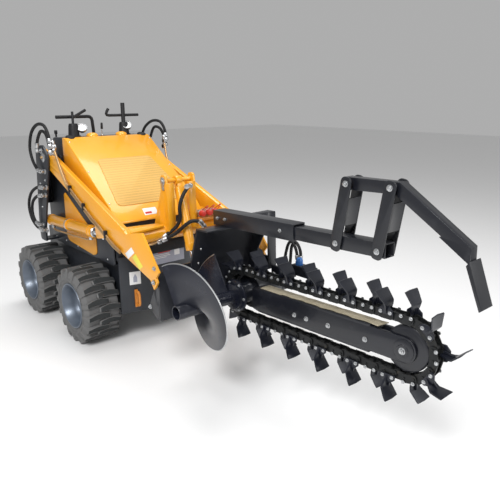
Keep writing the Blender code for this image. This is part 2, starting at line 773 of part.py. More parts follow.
def make_loader_arm(side, sign, lift):
    y0, y1 = sorted((sign * (ARM_OUTER - ARM_PLATE), sign * ARM_OUTER))
    arm = plate("loader_arm_" + side, arm_outline(), y0, y1, lift, finish=YELLOW)
    y0, y1 = sorted((sign * ARM_INNER, sign * (ARM_OUTER - 0.002)))
    beam = plate("arm_beam_" + side, beam_outline(), y0, y1, lift, cutter=True)
    y0, y1 = sorted((sign * (ARM_INNER + ARM_WEB), sign * (ARM_OUTER - ARM_PLATE + 0.001)))
    hollow = plate("arm_hollow_" + side, beam_outline(0.010, 0.06), y0, y1, lift, cutter=True)
    cut(beam, hollow)
    join(arm, beam)
    fx, _, fz = LIFT_FRONT_PIN
    y0, y1 = sorted((sign * (LUG_PLATE_Y + 0.002), sign * (ARM_OUTER - 0.004)))
    low, high = (fx - 0.030, y0, fz + LIFT_EYE_RADIUS + 0.018), (fx + 0.050, y1, fz + 0.082)
    join(arm, box("lug_spacer_" + side, low, high, lift, cutter=True))
    lug = [(fx - 0.042, fz - 0.020, 0.015), (fx - 0.042, fz + 0.078), (fx + 0.060, fz + 0.078)]
    lug += [(fx + 0.060, fz - 0.010, 0.015)]
    y0, y1 = sorted((sign * LUG_PLATE_Y, sign * (LUG_PLATE_Y + 0.010)))
    join(arm, plate("inner_lug_" + side, lug, y0, y1, lift, cutter=True))
    x, _, z = ARM_PIVOT
    reach = ARM_PIN_RADIUS + PIN_CLEARANCE
    cut(arm, rod("arm_bore_" + side, (x, sign * 0.3, z), (x, sign * 0.42, z), reach, lift, cutter=True))
    x, _, z = TOOL_PIVOT
    reach = TIP_PIN_RADIUS + PIN_CLEARANCE
    cut(arm, rod("tip_bore_" + side, (x, sign * 0.3, z), (x, sign * 0.42, z), reach, lift, cutter=True))
    return arm


def make_cross_tube(lift):
    """The tube between the arms, its gussets and the uprights that carry the tilt cylinder."""
    x, _, z = CROSS_TUBE
    reach = ARM_INNER - TOUCH
    cross = rod("arm_cross_tube", (x, -reach, z), (x, reach, z), CROSS_TUBE_RADIUS, lift,
                finish=YELLOW)
    tx, _, tz = TILT_TOP_PIN
    top = z + CROSS_TUBE_RADIUS
    for side, sign in SIDES:
        gusset = [(x - 0.070, sign * reach), (x + 0.075, sign * reach)]
        gusset += [(x + 0.040, sign * 0.12), (x - 0.030, sign * 0.12)]
        join(cross, plate("gusset_" + side, gusset, top - 0.006, top + 0.004, lift, plane="xy", cutter=True))
        outline = [(x - 0.096, z + 0.022), (x + 0.060, z + 0.010), (tx + 0.036, tz - 0.02, 0.02)]
        outline += [(tx + 0.028, tz + 0.036, 0.02), (tx - 0.022, tz + 0.036, 0.02)]
        outline += [(tx - 0.026, tz - 0.060, 0.02)]
        y0, y1 = sorted((sign * (UPRIGHT_Y - 0.012), sign * UPRIGHT_Y))
        join(cross, plate("upright_" + side, outline, y0, y1, lift, cutter=True))
        web = [(x + 0.050, z + 0.010), (x + 0.062, z + 0.012), (tx + 0.036, tz - 0.010)]
        web += [(tx + 0.024, tz - 0.010)]
        y0, y1 = sorted((sign * (UPRIGHT_Y - 0.050), sign * (UPRIGHT_Y - 0.001)))
        join(cross, plate("upright_web_" + side, web, y0, y1, lift, cutter=True))
    start, stop = (tx, -UPRIGHT_Y + 0.004, tz), (tx, UPRIGHT_Y - 0.004, tz)
    join(cross, rod("tilt_top_pin", start, stop, TILT_PIN_RADIUS, lift, steps=16, cutter=True))
    return cross


# --- cylinders ----------------------------------------------------------------------------


def make_barrel(name, size, pin_radius, pivot):
    """A hollow barrel along the pivot's X with its rear eye round the pin and a gland in front."""
    radius, rod_radius, length, eye_radius, eye_width = size
    bore = radius - BARREL_WALL
    gland = rod_radius + 0.001
    start = eye_radius + 0.020
    profile = [(gland, length), (radius + 0.002, length), (radius + 0.002, length - 0.040)]
    profile += [(radius, length - 0.042), (radius, start), (0, start)]
    profile += [(0, start + 0.020), (bore, start + 0.020), (bore, length - 0.040)]
    profile += [(gland, length - 0.040)]
    at = Vector(pivot["place"])
    barrel = turned(name, profile, pivot, at, "x", steps=20, closed=True, finish=YELLOW)
    half = eye_width / 2
    across = Vector((0, half, 0))
    eye = rod(name + "_eye", at - across, at + across, eye_radius + 0.002, pivot, steps=20, cutter=True)
    low = at + Vector((0, -half + 0.002, -eye_radius * 0.7))
    high = at + Vector((start + 0.004, half - 0.002, eye_radius * 0.7))
    join(barrel, eye, box(name + "_neck", low, high, pivot, cutter=True))
    across = Vector((0, 0.1, 0))
    hole = rod(name + "_pin_hole", at - across, at + across, pin_radius + PIN_CLEARANCE, pivot,
               steps=20, cutter=True)
    cut(barrel, hole)
    return barrel


def make_rod(name, size, start, end, pivot):
    """A polished rod along the pivot's X that ends in a plain eye disc."""
    _, radius, _, eye_radius, eye_width = size
    at = Vector(pivot["place"])
    along = Vector((1, 0, 0))
    bar = rod(name, at + start * along, at + end * along, radius, pivot, steps=20, finish=CHROME)
    across = Vector((0, eye_width / 2, 0))
    tip = at + end * along
    join(bar, rod(name + "_eye", tip - across, tip + across, eye_radius, pivot, steps=20, cutter=True))
    return bar


def make_lift_cylinder(side, sign, origin):
    length, angle = direction(LIFT_REAR_PIN, LIFT_FRONT_PIN)
    rear = (LIFT_REAR_PIN[0], sign * CYLINDER_PLANE, LIFT_REAR_PIN[2])
    pivot = empty("lift_cylinder_" + side, rear, origin, pitch=-angle)
    size = (LIFT_BARREL_RADIUS, LIFT_ROD_RADIUS, LIFT_BARREL_LENGTH, LIFT_EYE_RADIUS, LIFT_EYE_WIDTH)
    make_barrel("lift_barrel_" + side, size, LIFT_PIN_RADIUS, pivot)
    make_rod("lift_rod_" + side, size, LIFT_ROD_START, length, pivot)
    start = (rear[0], sign * (BODY_HALF_WIDTH + TOUCH), rear[2])
    stop = (rear[0], sign * (TOWER_OUTER - TOWER_PLATE - TOUCH), rear[2])
    rod("lift_pin_" + side, start, stop, LIFT_PIN_RADIUS, origin, steps=20, finish=SILVER)


def make_tilt_cylinder(lift):
    length, angle = direction(TILT_TOP_PIN, TILT_LOW_PIN)
    pivot = empty("tilt_cylinder", TILT_TOP_PIN, lift, pitch=-angle)
    size = (TILT_BARREL_RADIUS, TILT_ROD_RADIUS, TILT_BARREL_LENGTH, TILT_EYE_RADIUS, TILT_EYE_WIDTH)
    make_barrel("tilt_barrel", size, TILT_PIN_RADIUS, pivot)
    make_rod("tilt_rod", size, TILT_ROD_START, length, pivot)


# --- quick attach plate -------------------------------------------------------------------


def make_attach_plate(tilt):
    """The upright plate, its two cheeks with the pivot pins, and the tilt cylinder's ears."""
    front, back = ATTACH_FRONT_X, ATTACH_FRONT_X - ATTACH_PLATE
    low, high = ATTACH_BOTTOM, ATTACH_TOP
    half = ARM_OUTER - ARM_PLATE - ATTACH_CLEARANCE
    outline = [(-half, low, 0.01), (half, low, 0.01), (half, high - 0.03, 0.02)]
    outline += [(half - 0.04, high, 0.02), (-half + 0.04, high, 0.02), (-half, high - 0.03, 0.02)]
    attach = plate("quick_attach_plate", outline, back, front, tilt, plane="yz")
    tx, _, tz = TOOL_PIVOT
    for side, sign in SIDES:
        cheek = [(front - 0.004, low + 0.004), (front - 0.004, tz + 0.030), (tx + 0.002, tz + 0.034, 0.02)]
        cheek += [(tx - 0.032, tz + 0.024, 0.02), (tx - 0.036, tz - 0.060, 0.03)]
        cheek += [(front - ATTACH_CHEEK_DEPTH - 0.009, 0.436, 0.01)]
        cheek += [(front - ATTACH_CHEEK_DEPTH - 0.004, 0.402, 0.01), (front - 0.038, low + 0.004)]
        y0, y1 = sorted((sign * (half - 0.012), sign * (half - 0.0005)))
        join(attach, plate("cheek_" + side, cheek, y0, y1, tilt, cutter=True))
        start, stop = (tx, sign * (half - 0.008), tz), (tx, sign * (ARM_OUTER + 0.002), tz)
        join(attach, rod("tip_pin_" + side, start, stop, TIP_PIN_RADIUS, tilt, cutter=True))
        lx, _, lz = TILT_LOW_PIN
        ear = [(front - 0.004, lz - 0.050), (front - 0.004, lz + 0.060)]
        ear += [(lx + 0.02, lz + 0.034, 0.02), (lx - 0.034, lz + 0.030, 0.03)]
        ear += [(lx - 0.034, lz - 0.034, 0.03), (lx + 0.02, lz - 0.036, 0.02)]
        y0, y1 = sorted((sign * 0.026, sign * 0.038))
        join(attach, plate("tilt_ear_" + side, ear, y0, y1, tilt, cutter=True))
    return attach


# --- trencher -----------------------------------------------------------------------------


def hitch_x(z, depth=0.0):
    """Where the upright rear face of the trencher's frame lies at a height in tool coordinates."""
    start = (ATTACH_FRONT_X + TOUCH + depth - DRIVE_SHAFT[0]) / math.cos(TOOL_PITCH)
    return start + z * math.tan(TOOL_PITCH)


def make_trencher_frame(tool):
    """Hitch plate, the sloped guard with its top flange, and the far post and beam."""
    top = SLEEVE_AXIS_Z - SLEEVE_SIDE / 2 - TOUCH
    guard = [(hitch_x(-0.125), -0.125), (hitch_x(-0.125, 0.012), -0.125)]
    guard += [(hitch_x(0.122, 0.012), 0.122), (-0.172, top - 0.009), (-0.080, top - 0.009)]
    guard += [(-0.080, top), (-0.180, top), (hitch_x(0.128), 0.128)]
    frame = plate("trencher_frame", guard, -0.170, FRAME_FAR_Y, tool)
    inside = hitch_x(0, 0.006)
    rib = [(inside, 0.00), (inside, 0.13), (-0.176, top - 0.004), (-0.088, top - 0.004)]
    rib += [(-0.088, top - 0.040), (-0.170, 0.16), (-0.150, 0.00)]
    join(frame, plate("frame_rib", rib, 0.240, 0.250, tool, cutter=True))
    join(frame, box("drive_arm", (inside, 0.100, -0.070), (-0.040, 0.180, 0.060), tool, cutter=True))
    clearance = HOUSING_RADIUS + TOUCH
    hole = rod("housing_hole", (0, 0, 0), (0, 0.3, 0), clearance, tool, steps=48, cutter=True)
    cut(frame, hole)
    low, high = (-0.150, 0.050, top - 0.002), (-0.090, FRAME_FAR_Y, top + 0.038)
    join(frame, box("frame_beam", low, high, tool, cutter=True))
    low, high = (-0.096, FRAME_FAR_Y - 0.060, 0.055), (-0.088, FRAME_FAR_Y, top + 0.036)
    join(frame, box("frame_post", low, high, tool, cutter=True))
    low, high = (inside, FRAME_FAR_Y - 0.008, 0.055), (-0.088, FRAME_FAR_Y, 0.115)
    join(frame, box("post_tie", low, high, tool, cutter=True))
    return frame


def make_drive_housing(tool):
    """The drive head on the far side of the chain, with its stub through the loop."""
    profile = [(0, 0.215), (0.055, 0.215), (0.060, 0.120), (HOUSING_RADIUS, 0.112)]
    profile += [(HOUSING_RADIUS, 0.030), (0.052, 0.030), (0.052, AUGER_INNER_END + TOUCH)]
    profile += [(0, AUGER_INNER_END + TOUCH)]
    return turned("drive_housing", profile, tool, (0, 0, 0), "y", steps=48)


def stadium(radius, steps=14):
    """The outline of a loop round the drive shaft and the nose, at a distance from both."""
    outline = []
    for centre, start in ((BOOM_LENGTH, -90), (0.0, 90)):
        for k in range(steps + 1):
            angle = math.radians(start + 180 * k / steps)
            outline.append((centre + radius * math.cos(angle), radius * math.sin(angle)))
    return outline


def make_boom(tool):
    """The hollow boom with its narrower rounded nose."""
    half = BOOM_HEIGHT / 2
    rear = HOUSING_RADIUS + 0.004
    shoulder = BOOM_LENGTH - 0.164
    outline = [(rear, -half + 0.01), (rear + 0.05, -half), (shoulder, -half)]
    outline += [(shoulder, -BOOM_NOSE_RADIUS)]
    for k in range(11):
        angle = math.radians(-90 + 18 * k)
        x = BOOM_LENGTH + BOOM_NOSE_RADIUS * math.cos(angle)
        outline.append((x, BOOM_NOSE_RADIUS * math.sin(angle)))
    outline += [(shoulder, BOOM_NOSE_RADIUS), (shoulder, half), (rear + 0.05, half)]
    outline += [(rear, half - 0.01)]
    boom = plate("trencher_boom", outline, -BOOM_HALF_WIDTH, BOOM_HALF_WIDTH, tool)
    wall = BOOM_WALL
    inner = BOOM_HALF_WIDTH - wall
    low = (rear - 0.02, -inner, -BOOM_NOSE_RADIUS + wall)
    high = (shoulder - 0.02, inner, BOOM_NOSE_RADIUS - wall)
    cut(boom, box("boom_hollow", low, high, tool, cutter=True))
    slot = IDLER_RADIUS + 0.006
    fork = [(shoulder + 0.03, -slot), (BOOM_LENGTH + slot, -slot), (BOOM_LENGTH + slot, slot)]
    fork += [(shoulder + 0.03, slot)]
    reach = 0.020
    cut(boom, plate("boom_fork", fork, -reach, reach, tool, cutter=True))
    return boom


def make_idler(tool):
    """The nose wheel between the boom's fork plates."""
    profile = [(0, 0.019), (IDLER_RADIUS - 0.012, 0.019), (IDLER_RADIUS, 0.014)]
    profile += [(IDLER_RADIUS, -0.014), (IDLER_RADIUS - 0.012, -0.019), (0, -0.019)]
    return turned("nose_idler", profile, tool, (BOOM_LENGTH, 0, 0), "y")


def loop_point(distance, radius):
    """Place and outward angle of a point on the loop, at a distance along its mean line."""
    arc = math.pi * CHAIN_MEAN_RADIUS
    total = 2 * (BOOM_LENGTH + arc)
    distance %= total
    if distance < BOOM_LENGTH:
        return distance, radius, math.pi / 2
    distance -= BOOM_LENGTH
    if distance < arc:
        angle = math.pi / 2 - distance / CHAIN_MEAN_RADIUS
        return BOOM_LENGTH + radius * math.cos(angle), radius * math.sin(angle), angle
    distance -= arc
    if distance < BOOM_LENGTH:
        return BOOM_LENGTH - distance, -radius, -math.pi / 2
    distance -= BOOM_LENGTH
    angle = -math.pi / 2 - distance / CHAIN_MEAN_RADIUS
    return radius * math.cos(angle), radius * math.sin(angle), angle


def cutter_outline(x, z, angle, high):
    """A cup cutter's side view at a place on the loop: a foot, then a curved blade."""
    blade = [
        (-0.030, 0.0), (0.030, 0.0), (0.027, 0.30 * high), (0.008, 0.55 * high), (-0.002, 0.78 * high),
        (-0.014, high), (-0.024, high), (-0.020, 0.72 * high), (-0.016, 0.50 * high),
        (-0.027, 0.28 * high),
    ]
    turn = angle - math.pi / 2
    sin, cos = math.sin(turn), math.cos(turn)
    return [(x + a * cos - b * sin, z + a * sin + b * cos) for a, b in blade]


def make_chain(tool):
    """The digging chain as one fixed loop with its cutters standing on it, left and right in turn."""
    half = CHAIN_WIDTH / 2
    outer = stadium(CHAIN_INNER_RADIUS + CHAIN_HEIGHT)
    chain = plate("digging_chain", outer, -half, half, tool)
    hollow = stadium(CHAIN_INNER_RADIUS)
    cut(chain, plate("chain_hollow", hollow, -half - 0.01, half + 0.01, tool, cutter=True))
    total = 2 * (BOOM_LENGTH + math.pi * CHAIN_MEAN_RADIUS)
    sunk = 0.012
    seat = CHAIN_INNER_RADIUS + CHAIN_HEIGHT - sunk
    for i in range(CUTTER_COUNT):
        x, z, angle = loop_point(total * (i + 0.785) / CUTTER_COUNT, seat)
        side = -1 if i % 2 else 1
        y0, y1 = sorted((-side * 0.005, side * CUTTER_WIDTH / 2))
        outline = cutter_outline(x, z, angle, CUTTER_HEIGHT + sunk)
        join(chain, plate("cutter_%02d" % i, outline, y0, y1, tool, cutter=True))
    return chain


def make_auger(spin):
    """The spoil auger: its tube, hub flange and one turn of flight."""
    outer, inner = AUGER_TUBE_RADIUS, AUGER_TUBE_RADIUS - 0.006
    profile = [(outer, AUGER_INNER_END - 0.012), (outer, AUGER_OUTER_END)]
    profile += [(inner, AUGER_OUTER_END), (inner, AUGER_INNER_END - 0.030)]
    profile += [(0, AUGER_INNER_END - 0.030), (0, AUGER_INNER_END)]
    profile += [(0.085, AUGER_INNER_END), (0.085, AUGER_INNER_END - 0.014)]
    profile += [(0.066, AUGER_INNER_END - 0.016), (0.066, AUGER_INNER_END - 0.030)]
    profile += [(outer, AUGER_INNER_END - 0.032)]
    profile = profile[1:]
    auger = turned("spoil_auger", profile, spin, (0, 0, 0), "y", closed=True)
    mesh = bpy.data.meshes.new("auger_flight")
    bm = bmesh.new()
    half = FLIGHT_THICKNESS / 2
    inner_radius = AUGER_TUBE_RADIUS - 0.003
    start = math.radians(-30)
    place = Vector((0, AUGER_FLIGHT_OUTER, 0))
    corners = []
    for radius, offset in (
        (inner_radius, -half), (AUGER_RADIUS, -half), (AUGER_RADIUS, half), (inner_radius, half)
    ):
        x, z = radius * math.sin(start), radius * math.cos(start)
        corners.append(bm.verts.new(place + Vector((x, offset, z))))
    face = bm.faces.new(corners)
    steps = 36
    bmesh.ops.spin(
        bm, geom=[face], cent=(0, 0, 0), axis=(0, 1, 0), dvec=(0, AUGER_PITCH / steps, 0),
        angle=math.tau, steps=steps, use_duplicate=False,
    )
    bmesh.ops.recalc_face_normals(bm, faces=bm.faces)
    bm.to_mesh(mesh)
    bm.free()
    flight = add("auger_flight", mesh, spin, (0, 0, 0), cutter=True)
    join(auger, flight)
    return auger


# --- crumber ------------------------------------------------------------------------------


def make_crumber_sleeve(tool):
    half, inner = SLEEVE_SIDE / 2, INNER_SIDE / 2 + TOUCH
    z = SLEEVE_AXIS_Z
    low, high = (SLEEVE_REAR_X, -half, z - half), (SLEEVE_FRONT_X, half, z + half)
    sleeve = box("crumber_sleeve", low, high, tool)
    low, high = (SLEEVE_REAR_X - 0.01, -inner, z - inner), (SLEEVE_FRONT_X + 0.01, inner, z + inner)
    cut(sleeve, box("sleeve_bore", low, high, tool, cutter=True))
    return sleeve


def make_crumber_tube(tool):
    half, inner = INNER_SIDE / 2, INNER_SIDE / 2 - 0.005
    z = SLEEVE_AXIS_Z - 0.004
    rear = SLEEVE_FRONT_X - 0.250
    half_high = half - 0.004
    low, high = (rear, -half, z - half_high), (INNER_FRONT_X, half, z + half_high + 0.004)
    bar = box("crumber_tube", low, high, tool)
    low, high = (rear - 0.01, -inner, z - inner), (INNER_FRONT_X + 0.01, inner, z + inner)
    cut(bar, box("tube_bore", low, high, tool, cutter=True))
    return bar


def link_outline(foot):
    """The side plate of a crumber link, between its two pins."""
    x, _, z = foot
    half = 0.027
    sin, cos = math.sin(LINK_LEAN), math.cos(LINK_LEAN)
    outline = []
    for along, across, radius in (
        (-0.034, -half, 0.02), (-0.034, half, 0.02),
        (LINK_LENGTH + 0.028, half, 0.022), (LINK_LENGTH + 0.028, -half, 0.022),
    ):
        outline.append((x + along * sin + across * cos, z + along * cos - across * sin, radius))
    return outline


def make_link(name, foot, pivot):
    """Two side plates joined by a web across their front, clear of the bars they hold."""
    inner = INNER_SIDE / 2 + LINK_GAP
    outer = inner + LINK_PLATE
    near = plate(name, link_outline(foot), -outer, -inner, pivot)
    far = plate(name + "_far", link_outline(foot), inner, outer, pivot, cutter=True)
    x, _, z = foot
    sin, cos = math.sin(LINK_LEAN), math.cos(LINK_LEAN)
    web = []
    for along, across in ((0.085, 0.019), (0.085, 0.026), (LINK_LENGTH - 0.055, 0.026),
                          (LINK_LENGTH - 0.055, 0.019)):
        web.append((x + along * sin + across * cos, z + along * cos - across * sin))
    middle = plate(name + "_web", web, -outer + 0.002, outer - 0.002, pivot, cutter=True)
    join(near, middle, far)
    return near


def make_crumber_arm(pivot, head):
    """The bar across the link heads, its cranked arm and the shoe behind the nose."""
    x, _, z = head
    half = ARM_BAR_SIDE / 2
    bend_x, bend_z = x + LINK_SPACING + 0.030, z + half - 0.005
    end_x, end_z = bend_x + 0.289, bend_z - 0.200
    bar = [(x - 0.030, z - half, 0.01), (x - 0.030, z + half, 0.01), (bend_x, bend_z)]
    bar += [(end_x, end_z), (end_x, end_z - 0.064), (end_x - 0.122, end_z + 0.020)]
    bar += [(end_x - 0.112, end_z + 0.022), (bend_x - 0.020, z - half)]
    arm = plate("crumber_arm", bar, -half + 0.003, half - 0.003, pivot)
    shoe = [(end_x - 0.006, end_z - 0.062), (end_x + 0.006, end_z - 0.045)]
    shoe += [(end_x + 0.062, end_z - 0.208), (end_x + 0.052, end_z - 0.216)]
    join(arm, plate("crumber_shoe", shoe, -0.040, 0.040, pivot, cutter=True))
    return arm


def make_crumber(tool):
    make_crumber_sleeve(tool)
    make_crumber_tube(tool)
    x, _, z = LINK_REAR_FOOT
    front_foot = (x + LINK_SPACING, 0.0, z)
    rear = empty("crumber_rear_hinge", LINK_REAR_FOOT, tool)
    make_link("crumber_rear_link", LINK_REAR_FOOT, rear)
    front = empty("crumber_front_hinge", front_foot, tool)
    make_link("crumber_front_link", front_foot, front)
    head = (x + LINK_LENGTH * math.sin(LINK_LEAN), 0.0, z + LINK_LENGTH * math.cos(LINK_LEAN))
    arm_hinge = empty("crumber_arm_hinge", head, tool)
    make_crumber_arm(arm_hinge, head)


# --- the whole machine --------------------------------------------------------------------


def make_chassis(origin):
    make_tub(origin)
    make_hood(origin)
    make_grille(origin)
    make_console(origin)
    make_deck(origin)
    make_engine(origin)
    make_bumper(origin)
    make_platform(origin)
    make_left_lever(origin)
    make_right_lever(origin)
    make_hand_rail(origin)
    for side, sign in SIDES:
        make_side_panel(side, sign, origin)
        make_side_vent(side, sign, origin)
        make_tower(side, sign, origin)
        make_pivot_pin(side, sign, origin)
        make_tow_hook(side, sign, origin)


def make_wheels(origin):
    for end, x in (("front", 0.0), ("rear", -WHEELBASE)):
        make_axle(end, x, origin)
        for side, sign in SIDES:
            make_wheel(end, x, side, sign, origin)


def make_loader(origin):
    lift = empty("lift_hinge", ARM_PIVOT, origin)
    for side, sign in SIDES:
        make_loader_arm(side, sign, lift)
        make_lift_cylinder(side, sign, origin)
    make_cross_tube(lift)
    make_tilt_cylinder(lift)
    tilt = empty("tilt_hinge", TOOL_PIVOT, lift)
    make_attach_plate(tilt)
    return tilt


def make_trencher(tilt):
    tool = empty("tool_frame", DRIVE_SHAFT, tilt, pitch=-TOOL_PITCH)
    make_trencher_frame(tool)
    make_drive_housing(tool)
    make_boom(tool)
    make_idler(tool)
    make_chain(tool)
    spin = empty("auger_axis", (0, 0, 0), tool)
    make_auger(spin)
    make_crumber(tool)


def main():
    origin = empty("loader_origin", (-MIDDLE_X, 0, 0))
    origin["place"] = (0.0, 0.0, 0.0)
    make_chassis(origin)
    make_wheels(origin)
    make_trencher(make_loader(origin))


main()
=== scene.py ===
import json
import math

import bmesh
import bpy
from mathutils import Matrix, Vector


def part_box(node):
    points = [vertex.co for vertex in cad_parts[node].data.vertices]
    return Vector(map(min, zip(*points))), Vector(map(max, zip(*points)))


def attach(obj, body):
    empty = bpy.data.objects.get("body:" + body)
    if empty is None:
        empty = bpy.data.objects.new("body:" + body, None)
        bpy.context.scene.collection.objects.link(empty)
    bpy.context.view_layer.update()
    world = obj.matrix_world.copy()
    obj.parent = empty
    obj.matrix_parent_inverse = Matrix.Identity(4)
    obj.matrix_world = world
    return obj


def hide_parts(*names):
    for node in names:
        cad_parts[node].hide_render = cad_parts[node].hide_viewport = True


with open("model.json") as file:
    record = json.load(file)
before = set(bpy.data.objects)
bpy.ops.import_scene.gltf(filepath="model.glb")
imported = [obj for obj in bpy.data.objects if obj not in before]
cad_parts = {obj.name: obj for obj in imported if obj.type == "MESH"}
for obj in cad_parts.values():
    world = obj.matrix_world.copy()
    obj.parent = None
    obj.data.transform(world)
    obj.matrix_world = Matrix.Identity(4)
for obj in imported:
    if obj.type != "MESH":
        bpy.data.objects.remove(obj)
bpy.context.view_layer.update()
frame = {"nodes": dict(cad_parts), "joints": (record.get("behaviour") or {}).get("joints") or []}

bl_info = {
    "name": "Mini Skid Steer Loader",
    "version": (1, 0, 0),
    "blender": (4, 5, 0),
    "location": "View3D > Sidebar > Loader",
    "description": "Dresses the packed loader and trencher in paint, rubber, hoses and hardware",
    "category": "Object",
}

SIDES = (("right", -1), ("left", 1))
ENDS = ("front", "rear")
JOINT = {joint["name"]: Vector(joint["pos_m"]) for joint in frame["joints"] if "pos_m" in joint}


def middle(node):
    low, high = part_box(node)
    return (low + high) / 2


AXLE = middle("front_axle")
SHAFT = JOINT["auger_spin"]
NOSE = middle("nose_idler")
PITCH = math.atan2(NOSE.z - SHAFT.z, NOSE.x - SHAFT.x)
BOOM_LENGTH = math.hypot(NOSE.z - SHAFT.z, NOSE.x - SHAFT.x)
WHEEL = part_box("tyre_front_right")
WHEEL_RADIUS = (WHEEL[1].z - WHEEL[0].z) / 2
WHEEL_HALF = (WHEEL[1].y - WHEEL[0].y) / 2


def at(x, y, z):
    """A point given from the ground under the front axle, in the frame of the whole object."""
    return Vector((x + AXLE.x, y, z))


def tool_at(x, y, z):
    """A point given along the boom from its drive shaft, in the frame of the whole object."""
    cos, sin = math.cos(PITCH), math.sin(PITCH)
    return SHAFT + Vector((x * cos - z * sin, y, x * sin + z * cos))


def route(*points):
    """Several points given as for at()."""
    return [at(*point) for point in points]


def reach(node):
    """How far a node reaches from the middle plane."""
    return max(abs(corner.y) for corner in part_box(node))


# --- modelling tools -----------------------------------------------------------------------


def start():
    if bpy.context.mode != "OBJECT":
        bpy.ops.object.mode_set(mode="OBJECT")
    bpy.ops.object.select_all(action="DESELECT")


def pick(obj):
    start()
    obj.select_set(True)
    bpy.context.view_layer.objects.active = obj
    return obj


def settle(obj):
    """Puts the object's place, turn and size into its mesh."""
    pick(obj)
    bpy.ops.object.transform_apply(location=True, rotation=True, scale=True)
    return obj


def named(obj, name):
    obj.name = name
    obj.data.name = name
    return obj


def modify(obj, kind, **values):
    pick(obj)
    modifier = obj.modifiers.new(kind.lower(), kind)
    for key, value in values.items():
        setattr(modifier, key, value)
    bpy.ops.object.modifier_apply(modifier=modifier.name)
    return obj


def soften(obj, width=0.002, segments=2, angle=40):
    """Rounds the sharp edges and shades the rest smooth."""
    if width:
        modify(obj, "BEVEL", width=width, segments=segments, limit_method="ANGLE",
               angle_limit=math.radians(angle))
    pick(obj)
    bpy.ops.object.shade_smooth_by_angle(angle=math.radians(38))
    return obj


def block(name, low, high, edge=0.002):
    start()
    low, high = Vector(low), Vector(high)
    bpy.ops.mesh.primitive_cube_add(size=1, location=(low + high) / 2)
    obj = named(bpy.context.object, name)
    obj.scale = high - low
    return soften(settle(obj), edge)


def drum(name, a, b, radius, steps=28, edge=0.0015, end_radius=None):
    """A round bar between two points, or a taper where the end radius differs."""
    start()
    a, b = Vector(a), Vector(b)
    turn = (b - a).to_track_quat("Z", "Y").to_euler()
    bpy.ops.mesh.primitive_cone_add(
        vertices=steps, radius1=radius, radius2=radius if end_radius is None else end_radius,
        depth=(b - a).length, location=(a + b) / 2, rotation=turn,
    )
    return soften(settle(named(bpy.context.object, name)), edge)


def ring_of_points(name, points):
    """A filled face whose corners are put at the given points."""
    start()
    bpy.ops.mesh.primitive_circle_add(vertices=len(points), fill_type="NGON")
    obj = named(bpy.context.object, name)
    for vertex, point in zip(obj.data.vertices, points):
        vertex.co = point
    return obj


def outward(obj):
    pick(obj)
    bpy.ops.object.mode_set(mode="EDIT")
    bpy.ops.mesh.select_all(action="SELECT")
    bpy.ops.mesh.remove_doubles(threshold=0.00001)
    bpy.ops.mesh.normals_make_consistent(inside=False)
    bpy.ops.object.mode_set(mode="OBJECT")
    return obj


def slab(name, outline, low, high, place, edge=0.0015):
    """A flat outline of (a, b) pairs raised from low to high; place turns (a, b, height) to a point."""
    obj = ring_of_points(name, [place(a, b, low) for a, b in outline])
    lift = place(0, 0, high) - place(0, 0, low)
    pick(obj)
    bpy.ops.object.mode_set(mode="EDIT")
    bpy.ops.mesh.select_all(action="SELECT")
    bpy.ops.mesh.extrude_region_move(TRANSFORM_OT_translate={"value": lift})
    bpy.ops.object.mode_set(mode="OBJECT")
    return soften(outward(obj), edge)


def loft(name, rings, edge=0.0):
    """A closed skin through rings of points, drawn by extruding one ring after another."""
    obj = ring_of_points(name, rings[0])
    pick(obj)
    bpy.ops.object.mode_set(mode="EDIT")
    bpy.ops.mesh.select_all(action="SELECT")
    for before, ring in zip(rings, rings[1:]):
        bpy.ops.mesh.extrude_region_move(TRANSFORM_OT_translate={"value": (0, 0, 0)})
        shape = bmesh.from_edit_mesh(obj.data)
        chosen = [vertex for vertex in shape.verts if vertex.select]
        for vertex in chosen:
            nearest = min(range(len(before)), key=lambda i: (vertex.co - before[i]).length)
            vertex.co = ring[nearest]
        bmesh.update_edit_mesh(obj.data)
    bpy.ops.object.mode_set(mode="OBJECT")
    return soften(outward(obj), edge)


def lathe(name, profile, centre, axis, steps=64):
    """Spins (radius, height) pairs about an axis through the centre."""
    start()
    axis = Vector(axis).normalized()
    side = axis.orthogonal().normalized()
    obj = ring_of_points(name, [side * radius + axis * height for radius, height in profile])
    pick(obj)
    bpy.ops.object.mode_set(mode="EDIT")
    bpy.ops.mesh.select_all(action="SELECT")
    bpy.ops.mesh.delete(type="ONLY_FACE")
    bpy.ops.mesh.select_all(action="SELECT")
    bpy.ops.mesh.spin(steps=steps, angle=math.tau, center=(0, 0, 0), axis=axis)
    bpy.ops.mesh.select_all(action="SELECT")
    bpy.ops.mesh.remove_doubles(threshold=0.00002)
    bpy.ops.mesh.normals_make_consistent(inside=False)
    bpy.ops.object.mode_set(mode="OBJECT")
    obj.data.transform(Matrix.Translation(centre))
    return soften(obj, 0)


def curved(points, spacing=0.012):
    """A smooth line through the points, sampled at an even spacing."""
    points = [Vector(point) for point in points]
    ends = [points[0] * 2 - points[1], *points, points[-1] * 2 - points[-2]]
    line = []
    for a, b, c, d in zip(ends, ends[1:], ends[2:], ends[3:]):
        count = max(2, int((c - b).length / spacing))
        for k in range(count):
            t = k / count
            line.append(0.5 * (2 * b + (c - a) * t + (2 * a - 5 * b + 4 * c - d) * t * t
                               + (3 * b - a - 3 * c + d) * t ** 3))
    line.append(points[-1])
    return line


